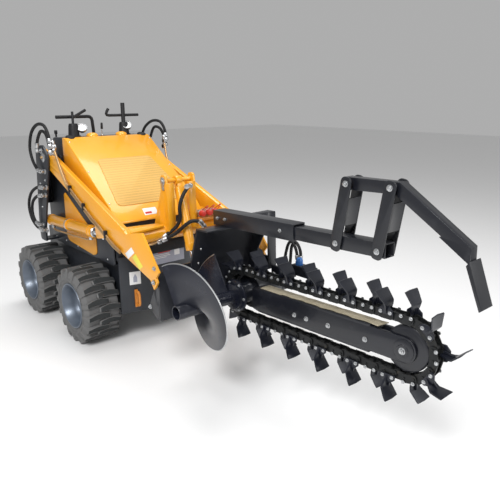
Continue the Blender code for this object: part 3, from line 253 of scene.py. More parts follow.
def eased(points, radius=0.02):
    """Straight runs with rounded bends."""
    points = [Vector(point) for point in points]
    line = [points[0]]
    for before, corner, after in zip(points, points[1:], points[2:]):
        reach = min(radius, (before - corner).length * 0.45, (after - corner).length * 0.45)
        first = corner + (before - corner).normalized() * reach
        last = corner + (after - corner).normalized() * reach
        for k in range(6):
            t = k / 5
            line.append(first * (1 - t) ** 2 + corner * 2 * t * (1 - t) + last * t * t)
    return [*line, points[-1]]


def tube(name, line, radius, ribs=0.0, sides=10):
    """A tube along a line; ribs thin every second point, as a wound guard does."""
    curve = bpy.data.curves.new(name, "CURVE")
    curve.dimensions = "3D"
    curve.bevel_depth = radius
    curve.bevel_resolution = max(1, sides // 4)
    curve.use_fill_caps = True
    spline = curve.splines.new("POLY")
    spline.points.add(len(line) - 1)
    for i, (point, place) in enumerate(zip(spline.points, line)):
        point.co = (*place, 1)
        point.radius = 1 - ribs * (i % 2)
    start()
    obj = bpy.data.objects.new(name, curve)
    bpy.context.scene.collection.objects.link(obj)
    pick(obj)
    bpy.ops.object.convert(target="MESH")
    obj = named(bpy.context.object, name)
    return soften(outward(obj), 0)


def merge(name, parts):
    """Joins pieces into one object."""
    start()
    for part in parts:
        part.select_set(True)
    bpy.context.view_layer.objects.active = parts[0]
    if len(parts) > 1:
        bpy.ops.object.join()
    return named(bpy.context.object, name)


def copied(model, matrices):
    """Copies of one model, each with its own mesh, moved by the given matrices."""
    made = []
    for matrix in matrices:
        twin = model.copy()
        twin.data = model.data.copy()
        twin.data.transform(matrix)
        bpy.context.scene.collection.objects.link(twin)
        made.append(twin)
    bpy.data.objects.remove(model)
    return made


def aim(place, direction, spin=0.0):
    """A matrix that stands a model made along +Z at a place, along a direction."""
    turn = Vector(direction).to_track_quat("Z", "Y").to_matrix().to_4x4()
    return Matrix.Translation(place) @ turn @ Matrix.Rotation(spin, 4, "Z")


def fit(obj, finish, body):
    """Gives a piece its finish and the body that it rides on."""
    if finish:
        paint(obj, finish)
    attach(obj, body)
    return obj


def paint(obj, *finishes):
    obj.data.materials.clear()
    for finish in finishes:
        obj.data.materials.append(material(finish))
    return obj


# --- finishes --------------------------------------------------------------------------------


def put(tree, kind, **values):
    made = tree.nodes.new(kind)
    for key, value in values.items():
        setattr(made, key, value)
    return made


def group(name, inputs, outputs):
    """A new shader node group with its sockets, and its two end nodes."""
    tree = bpy.data.node_groups.new(name, "ShaderNodeTree")
    for socket, kind, value in inputs:
        made = tree.interface.new_socket(socket, in_out="INPUT", socket_type=kind)
        if value is not None:
            made.default_value = value
    for socket, kind in outputs:
        tree.interface.new_socket(socket, in_out="OUTPUT", socket_type=kind)
    return tree, put(tree, "NodeGroupInput"), put(tree, "NodeGroupOutput")


def blend_colours(tree, factor, a, b):
    mix = put(tree, "ShaderNodeMix", data_type="RGBA")
    tree.links.new(factor, mix.inputs["Factor"])
    for socket, value in ((mix.inputs[6], a), (mix.inputs[7], b)):
        tree.links.new(value, socket)
    return mix.outputs[2]


def sums(tree, operation, a, b):
    made = put(tree, "ShaderNodeMath", operation=operation)
    for socket, value in zip(made.inputs, (a, b)):
        if isinstance(value, (int, float)):
            socket.default_value = value
        else:
            tree.links.new(value, socket)
    return made.outputs[0]


def noise(tree, vector, scale, detail=4.0, factor=1.0):
    made = put(tree, "ShaderNodeTexNoise")
    made.inputs["Detail"].default_value = detail
    tree.links.new(vector, made.inputs["Vector"])
    tree.links.new(sums(tree, "MULTIPLY", scale, factor), made.inputs["Scale"])
    return made.outputs["Fac"]


def ranged(tree, value, low, high, out=1.0):
    made = put(tree, "ShaderNodeMapRange")
    tree.links.new(value, made.inputs["Value"])
    for socket, number in (("From Min", low), ("From Max", high), ("To Max", out)):
        made.inputs[socket].default_value = number
    return made.outputs["Result"]


def patina_group():
    """Uneven colour, settled dust and a fine grain, used by every finish."""
    tree, given, result = group(
        "patina",
        [
            ("Coordinates", "NodeSocketVector", None),
            ("Base", "NodeSocketColor", (0.8, 0.8, 0.8, 1)),
            ("Shade", "NodeSocketColor", (0.5, 0.5, 0.5, 1)),
            ("Dust", "NodeSocketColor", (0.4, 0.36, 0.3, 1)),
            ("Scale", "NodeSocketFloat", 5.0),
            ("Shade Amount", "NodeSocketFloat", 0.4),
            ("Dust Amount", "NodeSocketFloat", 0.2),
            ("Roughness", "NodeSocketFloat", 0.4),
            ("Grain", "NodeSocketFloat", 80.0),
        ],
        [("Color", "NodeSocketColor"), ("Roughness", "NodeSocketFloat"), ("Height", "NodeSocketFloat")],
    )
    vector, scale = given.outputs["Coordinates"], given.outputs["Scale"]
    broad = ranged(tree, noise(tree, vector, scale, 3), 0.35, 0.68)
    specks = ranged(tree, noise(tree, vector, scale, 9, 7.0), 0.54, 0.78)
    patches = ranged(tree, noise(tree, vector, scale, 6, 1.7), 0.46, 0.66)
    dust = sums(tree, "MULTIPLY", specks, patches)
    dust = sums(tree, "MULTIPLY", dust, given.outputs["Dust Amount"])
    shade = sums(tree, "MULTIPLY", broad, given.outputs["Shade Amount"])
    colour = blend_colours(tree, shade, given.outputs["Base"], given.outputs["Shade"])
    colour = blend_colours(tree, dust, colour, given.outputs["Dust"])
    rough = sums(tree, "ADD", given.outputs["Roughness"], sums(tree, "MULTIPLY", dust, 0.4))
    rough = sums(tree, "ADD", rough, sums(tree, "MULTIPLY", broad, 0.08))
    grain = noise(tree, vector, given.outputs["Grain"], 3)
    height = sums(tree, "ADD", grain, sums(tree, "MULTIPLY", specks, 0.6))
    tree.links.new(colour, result.inputs["Color"])
    tree.links.new(rough, result.inputs["Roughness"])
    tree.links.new(height, result.inputs["Height"])
    return tree


def streak_group():
    """Long fine scratches, as on drawn or ground steel."""
    tree, given, result = group(
        "streaks",
        [("Coordinates", "NodeSocketVector", None), ("Stretch", "NodeSocketVector", (1, 1, 1)),
         ("Scale", "NodeSocketFloat", 60.0)],
        [("Mask", "NodeSocketFloat"), ("Height", "NodeSocketFloat")],
    )
    mapping = put(tree, "ShaderNodeMapping")
    tree.links.new(given.outputs["Coordinates"], mapping.inputs["Vector"])
    tree.links.new(given.outputs["Stretch"], mapping.inputs["Scale"])
    lines = noise(tree, mapping.outputs["Vector"], given.outputs["Scale"], 5)
    tree.links.new(ranged(tree, lines, 0.42, 0.7), result.inputs["Mask"])
    tree.links.new(lines, result.inputs["Height"])
    return tree


def perforation_group():
    """Rows of small round holes over a sheet."""
    tree, given, result = group(
        "perforation",
        [("Coordinates", "NodeSocketVector", None), ("Pitch", "NodeSocketFloat", 160.0),
         ("Hole", "NodeSocketFloat", 0.3)],
        [("Holes", "NodeSocketFloat"), ("Height", "NodeSocketFloat")],
    )
    cells = put(tree, "ShaderNodeTexVoronoi", feature="F1")
    cells.inputs["Randomness"].default_value = 0.0
    tree.links.new(given.outputs["Coordinates"], cells.inputs["Vector"])
    tree.links.new(given.outputs["Pitch"], cells.inputs["Scale"])
    edge = sums(tree, "SUBTRACT", given.outputs["Hole"], cells.outputs["Distance"])
    holes = ranged(tree, edge, -0.06, 0.06)
    tree.links.new(holes, result.inputs["Holes"])
    tree.links.new(sums(tree, "SUBTRACT", 1.0, holes), result.inputs["Height"])
    return tree


GROUPS = {}
FINISHES = {
    # name: (base, shade, dust,
    #        roughness, metallic, coat, scale, shade amount, dust amount, grain, bump)
    "yellow": ((0.83, 0.37, 0.012), (0.72, 0.29, 0.008), (0.78, 0.52, 0.2),
        0.30, 0, 0.5, 3, 0.5, 0.12, 90, 0.03),
    "yellow_vent": ((0.72, 0.31, 0.012), (0.62, 0.25, 0.01), (0.6, 0.42, 0.2),
        0.45, 0, 0.2, 4, 0.5, 0.25, 120, 0.06),
    "slate": ((0.016, 0.019, 0.026), (0.010, 0.012, 0.016), (0.06, 0.06, 0.06),
        0.42, 0, 0.15, 4, 0.6, 0.2, 90, 0.05),
    "ink": ((0.007, 0.008, 0.013), (0.003, 0.004, 0.006), (0.04, 0.042, 0.05),
        0.32, 0, 0.2, 4, 0.6, 0.2, 80, 0.06),
    "steel_blue": ((0.012, 0.014, 0.024), (0.006, 0.007, 0.012), (0.06, 0.065, 0.08),
        0.26, 0.2, 0.2, 5, 0.7, 0.3, 60, 0.05),
    "plastic": ((0.013, 0.013, 0.015), (0.008, 0.008, 0.009), (0.09, 0.09, 0.09),
        0.5, 0, 0, 8, 0.5, 0.15, 150, 0.08),
    "rubber": ((0.014, 0.014, 0.015), (0.008, 0.008, 0.009), (0.08, 0.08, 0.078),
        0.62, 0, 0, 9, 0.5, 0.3, 160, 0.15),
    # tyre and tread are shaded and lit copies of one black rubber: tread, lighter, is painted light on the
    # outward lug tops; tyre, darker, is painted shade meant for the carcass between the lugs.
    "tyre": ((0.007, 0.008, 0.009), (0.004, 0.004, 0.005), (0.02, 0.021, 0.02),
        0.72, 0, 0, 7, 0.6, 0.2, 120, 0.2),
    "tread": ((0.034, 0.037, 0.038), (0.020, 0.022, 0.023), (0.07, 0.07, 0.068),
        0.8, 0, 0, 10, 0.5, 0.4, 150, 0.25),
    "rim": ((0.15, 0.178, 0.22), (0.08, 0.10, 0.135), (0.2, 0.19, 0.18),
        0.36, 0.5, 0.2, 6, 0.5, 0.2, 90, 0.04),
    "zinc": ((0.56, 0.57, 0.58), (0.36, 0.37, 0.38), (0.35, 0.33, 0.3),
        0.30, 0.95, 0, 12, 0.5, 0.3, 120, 0.06),
    "chrome": ((0.80, 0.81, 0.83), (0.62, 0.63, 0.65), (0.5, 0.5, 0.5),
        0.12, 1, 0, 5, 0.3, 0.1, 60, 0.02),
    "brass": ((0.56, 0.37, 0.18), (0.42, 0.26, 0.12), (0.45, 0.36, 0.25),
        0.34, 0.8, 0, 9, 0.5, 0.2, 90, 0.05),
    "grille": ((0.66, 0.40, 0.10), (0.60, 0.36, 0.09), (0.7, 0.5, 0.25),
        0.55, 0.1, 0, 4, 0.4, 0.15, 150, 0.05),
    "boom_strip": ((0.42, 0.37, 0.27), (0.30, 0.26, 0.18), (0.5, 0.45, 0.35),
        0.8, 0.1, 0, 9, 0.6, 0.5, 90, 0.3),
    "chain": ((0.012, 0.013, 0.014), (0.006, 0.007, 0.007), (0.08, 0.07, 0.055),
        0.42, 0.4, 0, 12, 0.6, 0.45, 90, 0.12),
    "cutter": ((0.008, 0.010, 0.018), (0.004, 0.005, 0.009), (0.05, 0.05, 0.06),
        0.34, 0.2, 0.15, 7, 0.6, 0.3, 70, 0.08),
    "orange": ((0.60, 0.21, 0.02), (0.46, 0.15, 0.015), (0.5, 0.35, 0.2),
        0.4, 0, 0.2, 9, 0.5, 0.25, 90, 0.06),
    "red": ((0.55, 0.03, 0.02), (0.38, 0.02, 0.015), (0.5, 0.3, 0.25),
        0.38, 0, 0.3, 12, 0.4, 0.15, 90, 0.03),
    "blue": ((0.04, 0.20, 0.62), (0.03, 0.13, 0.42), (0.3, 0.4, 0.5),
        0.35, 0, 0.3, 12, 0.4, 0.15, 90, 0.03),
    "white": ((0.80, 0.80, 0.80), (0.70, 0.70, 0.72), (0.6, 0.58, 0.55),
        0.4, 0, 0.3, 9, 0.4, 0.15, 90, 0.02),
    "label_grey": ((0.34, 0.36, 0.44), (0.28, 0.30, 0.37), (0.4, 0.4, 0.4),
        0.45, 0, 0.2, 9, 0.4, 0.15, 90, 0.02),
    "label_yellow": ((0.75, 0.68, 0.05), (0.66, 0.58, 0.04), (0.6, 0.58, 0.4),
        0.4, 0, 0.3, 9, 0.4, 0.15, 90, 0.02),
    "iron": ((0.08, 0.08, 0.085), (0.05, 0.05, 0.052), (0.16, 0.15, 0.13),
        0.55, 0.4, 0, 8, 0.6, 0.4, 70, 0.25),
}


def tone(r, g, b):
    return (r, g, b, 1.0)


def material(name):
    """The finish of this name, made when it is first asked for."""
    if name in bpy.data.materials:
        return bpy.data.materials[name]
    base, shade, dust, rough, metallic, coat, scale, shaded, dusty, grain, bump = FINISHES[name]
    colours = bpy.context.scene.loader_colours
    base = getattr(colours, name, base)
    made = bpy.data.materials.new(name)
    made.use_nodes = True
    tree = made.node_tree
    surface = tree.nodes["Principled BSDF"]
    surface.inputs["Metallic"].default_value = metallic
    surface.inputs["Coat Weight"].default_value = coat
    surface.inputs["Coat Roughness"].default_value = 0.12
    if name in ("tyre", "tread", "rubber", "plastic"):
        surface.inputs["Specular IOR Level"].default_value = 0.28
    made.diffuse_color = tone(*base[:3])
    place = put(tree, "ShaderNodeTexCoord")
    patina = put(tree, "ShaderNodeGroup", node_tree=GROUPS["patina"])
    tree.links.new(place.outputs["Object"], patina.inputs["Coordinates"])
    for socket, value in (
        ("Base", tone(*base[:3])), ("Shade", tone(*shade)), ("Dust", tone(*dust)), ("Scale", scale),
        ("Shade Amount", shaded), ("Dust Amount", dusty * 2), ("Roughness", rough), ("Grain", grain),
    ):
        patina.inputs[socket].default_value = value
    colour, height = patina.outputs["Color"], patina.outputs["Height"]
    if name in ("grille", "yellow_vent"):
        sheet = put(tree, "ShaderNodeGroup", node_tree=GROUPS["perforation"])
        lean = put(tree, "ShaderNodeMapping")
        lean.inputs["Rotation"].default_value = (0, math.radians(34.5), 0) if name == "grille" else (0, 0, 0)
        tree.links.new(place.outputs["Object"], lean.inputs["Vector"])
        tree.links.new(lean.outputs["Vector"], sheet.inputs["Coordinates"])
        sheet.inputs["Pitch"].default_value = 130 if name == "grille" else 110
        sheet.inputs["Hole"].default_value = 0.34 if name == "grille" else 0.12
        dark = put(tree, "ShaderNodeMix", data_type="RGBA")
        tree.links.new(sums(tree, "MULTIPLY", sheet.outputs["Holes"], 0.62), dark.inputs["Factor"])
        tree.links.new(colour, dark.inputs[6])
        dark.inputs[7].default_value = (0.16, 0.085, 0.02, 1)
        colour = dark.outputs[2]
        height = sums(tree, "ADD", sums(tree, "MULTIPLY", height, 0.3), sheet.outputs["Height"])
    if name in ("zinc", "chrome", "rim", "steel_blue", "brass"):
        streaks = put(tree, "ShaderNodeGroup", node_tree=GROUPS["streaks"])
        tree.links.new(place.outputs["Object"], streaks.inputs["Coordinates"])
        streaks.inputs["Stretch"].default_value = (1, 0.08, 1)
        height = sums(tree, "ADD", height, sums(tree, "MULTIPLY", streaks.outputs["Height"], 0.6))
    tree.links.new(colour, surface.inputs["Base Color"])
    tree.links.new(patina.outputs["Roughness"], surface.inputs["Roughness"])
    relief = put(tree, "ShaderNodeBump")
    relief.inputs["Strength"].default_value = bump
    relief.inputs["Distance"].default_value = 0.002
    tree.links.new(height, relief.inputs["Height"])
    tree.links.new(relief.outputs["Normal"], surface.inputs["Normal"])
    return made


# --- what a user may change ------------------------------------------------------------------


class LoaderSizes(bpy.types.PropertyGroup):
    lug_height: bpy.props.FloatProperty(
        name="Lug height", description="How far the tread lugs stand over the carcass",
        default=0.019, min=0.005, max=0.04, unit="LENGTH")
    lug_count: bpy.props.IntProperty(
        name="Lugs per side", description="Tread lugs on each half of a tyre", default=17, min=8, max=30)
    chain_pitch: bpy.props.FloatProperty(
        name="Chain pitch", description="Distance between the digging chain's pins",
        default=0.0445, min=0.02, max=0.08, unit="LENGTH")
    hose_radius: bpy.props.FloatProperty(
        name="Hose radius", description="Radius of the guarded hydraulic hoses",
        default=0.0105, min=0.004, max=0.02, unit="LENGTH")
    pipe_radius: bpy.props.FloatProperty(
        name="Pipe radius", description="Radius of the hard hydraulic pipes",
        default=0.0058, min=0.003, max=0.012, unit="LENGTH")
    lens: bpy.props.FloatProperty(
        name="Lens", description="Focal length of the camera on a 36 mm sensor", default=39.43,
        unit="CAMERA")


def colour_property(label, name):
    return bpy.props.FloatVectorProperty(
        name=label, description=label + " of the finished machine", default=FINISHES[name][0],
        subtype="COLOR", size=3, min=0, max=1)


class LoaderColours(bpy.types.PropertyGroup):
    yellow: colour_property("Body paint", "yellow")
    slate: colour_property("Frame paint", "slate")
    ink: colour_property("Tool paint", "ink")
    rim: colour_property("Rim paint", "rim")
    # Tyre rubber is the darker copy, painted shade, and tread tops the lighter copy, painted light, of one
    # rubber.
    tyre: colour_property("Tyre rubber", "tyre")
    tread: colour_property("Tread tops", "tread")
    grille: colour_property("Grille sheet", "grille")


# --- hardware --------------------------------------------------------------------------------


def bolt_model(size=0.008):
    """A hexagon head on its washer, standing on the origin along +Z."""
    washer = drum("washer", (0, 0, 0), (0, 0, size * 0.25), size * 1.15, 20, size * 0.08)
    head = drum("head", (0, 0, size * 0.2), (0, 0, size * 0.85), size * 0.9, 6, size * 0.12)
    stud = drum("stud", (0, 0, size * 0.8), (0, 0, size * 1.15), size * 0.45, 12, size * 0.1)
    return merge("bolt", [washer, head, stud])


def dome_model(size=0.006):
    """A low round head, standing on the origin along +Z."""
    profile = [(0, -0.001), (size, -0.001), (size, size * 0.15), (size * 0.8, size * 0.45)]
    profile += [(size * 0.45, size * 0.62), (0, size * 0.66)]
    return lathe("dome", profile, (0, 0, 0), (0, 0, 1), 16)


def bolts(name, body, places, size=0.008, finish="zinc", model=bolt_model):
    """One piece with a bolt at each (place, direction)."""
    made = copied(model(size), [aim(place, direction, 0.4) for place, direction in places])
    return fit(merge(name, made), finish, body)


def fitting(name, line, radius, finish="zinc"):
    """A crimped hose end with its nut, along the start of a line."""
    a, b = Vector(line[0]), Vector(line[1])
    along = (b - a).normalized()
    parts = [
        drum(name + "_nut", a, a + along * radius * 1.8, radius * 1.45, 6, radius * 0.12),
        drum(name + "_neck", a + along * radius * 1.5, a + along * radius * 2.6, radius * 0.9, 14, 0.0005),
        drum(name + "_sleeve", a + along * radius * 2.4, a + along * radius * 5.2, radius * 1.3, 20,
             radius * 0.14),
    ]
    return paint(merge(name, parts), finish)


def hose(name, body, points, radius, ends=(True, True), guard=0.12):
    """A hydraulic hose with a wound guard and a crimped end at each marked end."""
    line = curved(points, 0.0045)
    parts = [paint(tube(name, line, radius, guard, 10), "rubber")]
    if ends[0]:
        parts.append(fitting(name + "_end_a", [line[0], line[4]], radius))
    if ends[1]:
        parts.append(fitting(name + "_end_b", [line[-1], line[-5]], radius))
    return fit(merge(name, parts), None, body)


def pipe(name, body, points, radius, finish="brass", bend=0.025):
    return fit(tube(name, eased(points, bend), radius, 0, 12), finish, body)


# --- wheels ----------------------------------------------------------------------------------


def carcass_radius(across, lug):
    """The tyre's radius under its lugs at a distance from its middle plane."""
    share = abs(across) / WHEEL_HALF
    crown = WHEEL_RADIUS - lug - 0.004 * share ** 2
    if share <= 0.78:
        return crown
    return crown - 0.052 * ((share - 0.78) / 0.22) ** 2


def tyre_profile(lug):
    """Half of the tyre's section, from the tread's middle to its bead, as (radius, across)."""
    half = WHEEL_HALF
    bead, lip = 0.1330, 0.1450
    steps = [(carcass_radius(half * s, lug), half * s) for s in (0, 0.25, 0.5, 0.7, 0.8, 0.88, 0.94, 0.98)]
    side = [(0.74 * WHEEL_RADIUS, half * 0.995), (0.70 * WHEEL_RADIUS, half * 0.985)]
    side += [(0.695 * WHEEL_RADIUS, half * 0.962), (0.655 * WHEEL_RADIUS, half * 0.950)]
    side += [(0.645 * WHEEL_RADIUS, half * 0.925), (lip + 0.004, half * 0.905), (lip, half * 0.880)]
    side += [(bead, half * 0.872), (bead, half * 0.80)]
    return steps + side


def lug_model(lug, side):
    """One curved bar of the tread, which starts past the middle and runs down over the shoulder."""
    rings = []
    stations = (-0.30, -0.24, -0.05, 0.18, 0.42, 0.62, 0.78, 0.88, 0.955, 0.99)
    for share in stations:
        across = share * WHEEL_HALF
        grown = (share + 0.30) / 1.29
        width = 0.0150 + 0.0045 * math.sin(math.pi * min(grown * 1.15, 1))
        width *= 0.72 if share == stations[0] else 1
        sweep = 0.052 * (grown - 0.42) ** 2 - 0.006
        floor = carcass_radius(across, lug) - 0.004
        top = WHEEL_RADIUS
        if share > 0.86:
            top = min(top, WHEEL_RADIUS - 0.058 * ((share - 0.86) / 0.13) ** 1.6)
            floor = min(floor, top - 0.004)
        if share == stations[0]:
            top -= 0.004
        ring = []
        for offset, radius in ((-width - 0.003, floor), (-width, top - 0.0015), (-width + 0.002, top),
                               (width - 0.002, top), (width, top - 0.0015), (width + 0.003, floor)):
            angle = (sweep + offset) / WHEEL_RADIUS
            ring.append(Vector((radius * math.sin(angle), side * across, radius * math.cos(angle))))
        rings.append(ring)
    return loft("lug", rings)


def build_tyre(end, side, sign):
    """The carcass with its sidewall steps and two rows of staggered bar lugs."""
    sizes = bpy.context.scene.loader_sizes
    centre = middle("tyre_%s_%s" % (end, side))
    half = tyre_profile(sizes.lug_height)
    profile = [(radius, across) for radius, across in half[::-1]]
    profile += [(radius, -across) for radius, across in half[1:]]
    inside = [(0.80 * WHEEL_RADIUS, -0.8 * WHEEL_HALF), (0.80 * WHEEL_RADIUS, 0.8 * WHEEL_HALF)]
    carcass = lathe("carcass", profile + inside, (0, 0, 0), (0, 1, 0), 96)
    paint(carcass, "tyre", "tread")
    parts = [carcass]
    step = math.tau / sizes.lug_count
    for row, start_angle in ((1, 0.0), (-1, step / 2)):
        model = paint(lug_model(sizes.lug_height, row), "tyre", "tread")
        # Outward lug tops get the lighter tread copy as a painted highlight; the carcass and lug sides keep the
        # darker tyre copy as painted shade.
        for face in model.data.polygons:
            out = Vector((face.center.x, 0, face.center.z))
            if face.normal.dot(out.normalized()) > 0.93 and out.length > WHEEL_RADIUS - 0.002:
                face.material_index = 1
        turns = [Matrix.Rotation(start_angle + step * k, 4, "Y") for k in range(sizes.lug_count)]
        parts += copied(model, turns)
    name = "treaded_tyre_%s_%s" % (end, side)
    tyre = merge(name, parts)
    tyre.data.transform(Matrix.Translation(centre))
    fit(tyre, None, "wheel_%s_%s" % (end, side))
    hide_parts("tyre_%s_%s" % (end, side))


def build_rim(end, side, sign):
    """The dished rim with its flanges, wheel nuts, hub cap and valve."""
    centre = middle("tyre_%s_%s" % (end, side))
    lip, half = 0.1436, WHEEL_HALF
    edge = half * 0.868
    outer = [(0, 0.052), (0.030, 0.052), (0.036, 0.046), (0.038, 0.020), (0.052, 0.014), (0.088, 0.014)]
    outer += [(0.100, 0.018), (0.108, 0.030), (0.114, 0.052), (0.119, edge - 0.022), (0.126, edge - 0.012)]
    outer += [(0.130, edge + 0.002), (0.136, edge + 0.009), (0.141, edge + 0.008), (lip, edge + 0.003)]
    outer += [(lip, edge), (0.1326, edge), (0.1326, -edge), (lip, -edge), (lip, -edge - 0.003)]
    outer += [(0.141, -edge - 0.008), (0.136, -edge - 0.009), (0.130, -edge - 0.002), (0.124, -edge + 0.02)]
    outer += [(0.120, -0.02), (0.106, 0.0), (0.060, 0.004), (0.044, -0.004), (0.044, -0.088)]
    outer += [(0.0308, -0.088), (0.0308, 0.0335), (0, 0.0335)]
    rim = paint(lathe("rim", outer, (0, 0, 0), (0, sign, 0), 72), "rim")
    parts = [rim]
    nuts = []
    for k in range(5):
        angle = math.tau * k / 5 + 0.3
        place = Vector((0.068 * math.cos(angle), sign * 0.0138, 0.068 * math.sin(angle)))
        nuts.append(aim(place, (0, sign, 0)))
    parts.append(paint(merge("nuts", copied(bolt_model(0.010), nuts)), "zinc"))
    valve = drum("valve", (0, sign * 0.050, 0.119), (0, sign * 0.082, 0.109), 0.0045, 12)
    parts.append(paint(valve, "rubber"))
    piece = merge("dished_rim_%s_%s" % (end, side), parts)
    piece.data.transform(Matrix.Translation(centre))
    fit(piece, None, "wheel_%s_%s" % (end, side))
    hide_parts("rim_%s_%s" % (end, side))


# --- hood and controls ------------------------------------------------------------------------


# Corners of the hood's side outline, as (x, z) from the ground under the front axle.
HOOD_TOP = (-0.310, 1.236)
HOOD_LIP = (0.235, 0.862)
HOOD_NOSE = (0.303, 0.790)


def slope_place(x, z, lean):
    """Points on a tilted panel: along its fall, across it, and out of it."""
    cos, sin = math.cos(lean), math.sin(lean)
    return lambda a, b, height: at(x + a * cos + height * sin, b, z - a * sin + height * cos)


def build_hood_trim():
    """Corner pads, hinge bolts and the blank plate with its stripe on the lip."""
    fall, run = HOOD_TOP[1] - HOOD_LIP[1], HOOD_LIP[0] - HOOD_TOP[0]
    top = slope_place(*HOOD_TOP, math.atan2(fall, run))
    length = math.hypot(run, fall)
    for side, sign in SIDES:
        centre = at(-0.332, sign * 0.262, HOOD_TOP[1])
        profile = [(0, -0.002), (0.030, -0.002), (0.031, 0.004), (0.026, 0.010), (0.012, 0.013), (0, 0.013)]
        pad = lathe("hood_pad_" + side, profile, centre, (0.25, 0, 1), 32)
        fit(pad, "plastic", "chassis")
    rows = []
    for sign in (-1, 1):
        for share in (0.06, 0.5, 0.94):
            rows.append((top(length * share, sign * 0.292, 0.0004), top(0, 0, 1) - top(0, 0, 0)))
    bolts("hood_screws", "chassis", rows, 0.0055, "zinc", dome_model)
    lip_lean = math.atan2(HOOD_LIP[1] - HOOD_NOSE[1], HOOD_NOSE[0] - HOOD_LIP[0])
    lip = slope_place(*HOOD_LIP, lip_lean)
    sticker = slab("blank_hood_plate", [(0.030, -0.108), (0.030, -0.016), (0.078, -0.016), (0.078, -0.108)],
                   0.0004, 0.0012, lip, 0.0003)
    fit(sticker, "white", "chassis")
    stripe = slab("blank_hood_stripe", [(0.056, -0.100), (0.056, -0.056), (0.070, -0.056), (0.070, -0.100)],
                  0.0013, 0.0017, lip, 0)
    fit(stripe, "red", "chassis")


def gauge(name, place, facing):
    """A round dial with its rim, face, pointer and mounting ring, turned towards the driver's side."""
    profile = [(0, -0.020), (0.027, -0.020), (0.030, -0.014), (0.033, 0.004), (0.033, 0.008), (0.030, 0.009)]
    profile += [(0.029, 0.003), (0, 0.003)]
    case = paint(lathe(name + "_case", profile, (0, 0, 0), (0, 0, 1), 40), "zinc")
    face = paint(lathe(name + "_face", [(0, 0.0032), (0.0288, 0.0032), (0.0288, 0.0042), (0, 0.0042)],
                       (0, 0, 0), (0, 0, 1), 40), "white")
    needle = paint(block(name + "_needle", (-0.001, -0.004, 0.0046), (0.001, 0.021, 0.0056), 0.0003), "red")
    ticks = []
    for k in range(9):
        angle = math.radians(-120 + 30 * k)
        tick = block("tick", (-0.0006, 0.022, 0.0044), (0.0006, 0.027, 0.0049), 0.0001)
        tick.data.transform(Matrix.Rotation(angle, 4, "Z"))
        ticks.append(paint(tick, "plastic"))
    stem = paint(drum(name + "_stem", (0, 0, -0.045), (0, 0, -0.018), 0.008, 16), "zinc")
    piece = merge(name, [case, face, needle, stem, *ticks])
    piece.data.transform(aim(place, facing))
    return fit(piece, None, "chassis")


def build_controls():
    """Dials, a small lever, a throttle knob and the plain domes at the rail's feet."""
    gauge("dial_right", at(-0.400, -0.144, 1.292), (0.75, -0.25, 0.7))
    gauge("dial_left", at(-0.400, 0.190, 1.298), (0.75, -0.25, 0.7))
    for name, y in (("dome_right", -0.084), ("dome_left", 0.132)):
        profile = [(0, 0.0), (0.040, 0.0), (0.040, 0.005), (0.032, 0.016), (0.016, 0.022), (0, 0.023)]
        fit(lathe(name, profile, at(-0.385, y, 1.2372), (0, 0, 1), 36), "yellow", "chassis")
    stem = paint(drum("small_stem", at(-0.400, -0.004, 1.236), at(-0.398, -0.004, 1.285), 0.0035, 12), "zinc")
    nut = paint(drum("small_nut", at(-0.400, -0.004, 1.236), at(-0.400, -0.004, 1.246), 0.010, 6), "zinc")
    grip = paint(drum("small_grip", at(-0.398, -0.004, 1.280), at(-0.395, -0.004, 1.322), 0.0085, 20, 0.003,
                      0.0070), "plastic")
    fit(merge("small_lever", [stem, nut, grip]), None, "chassis")
    post = drum("knob_post", at(-0.520, -0.275, 1.232), at(-0.520, -0.275, 1.258), 0.006, 12)
    cap = drum("knob_cap", at(-0.520, -0.275, 1.252), at(-0.520, -0.275, 1.276), 0.0105, 24, 0.003)
    fit(merge("throttle_knob", [post, cap]), "plastic", "chassis")


# --- arms --------------------------------------------------------------------------------------


def arm_place(side_y, sign):
    """Points on the outer face of an arm: machine x, z and the height off the face."""
    return lambda a, b, height: at(a, sign * (side_y + height), b)


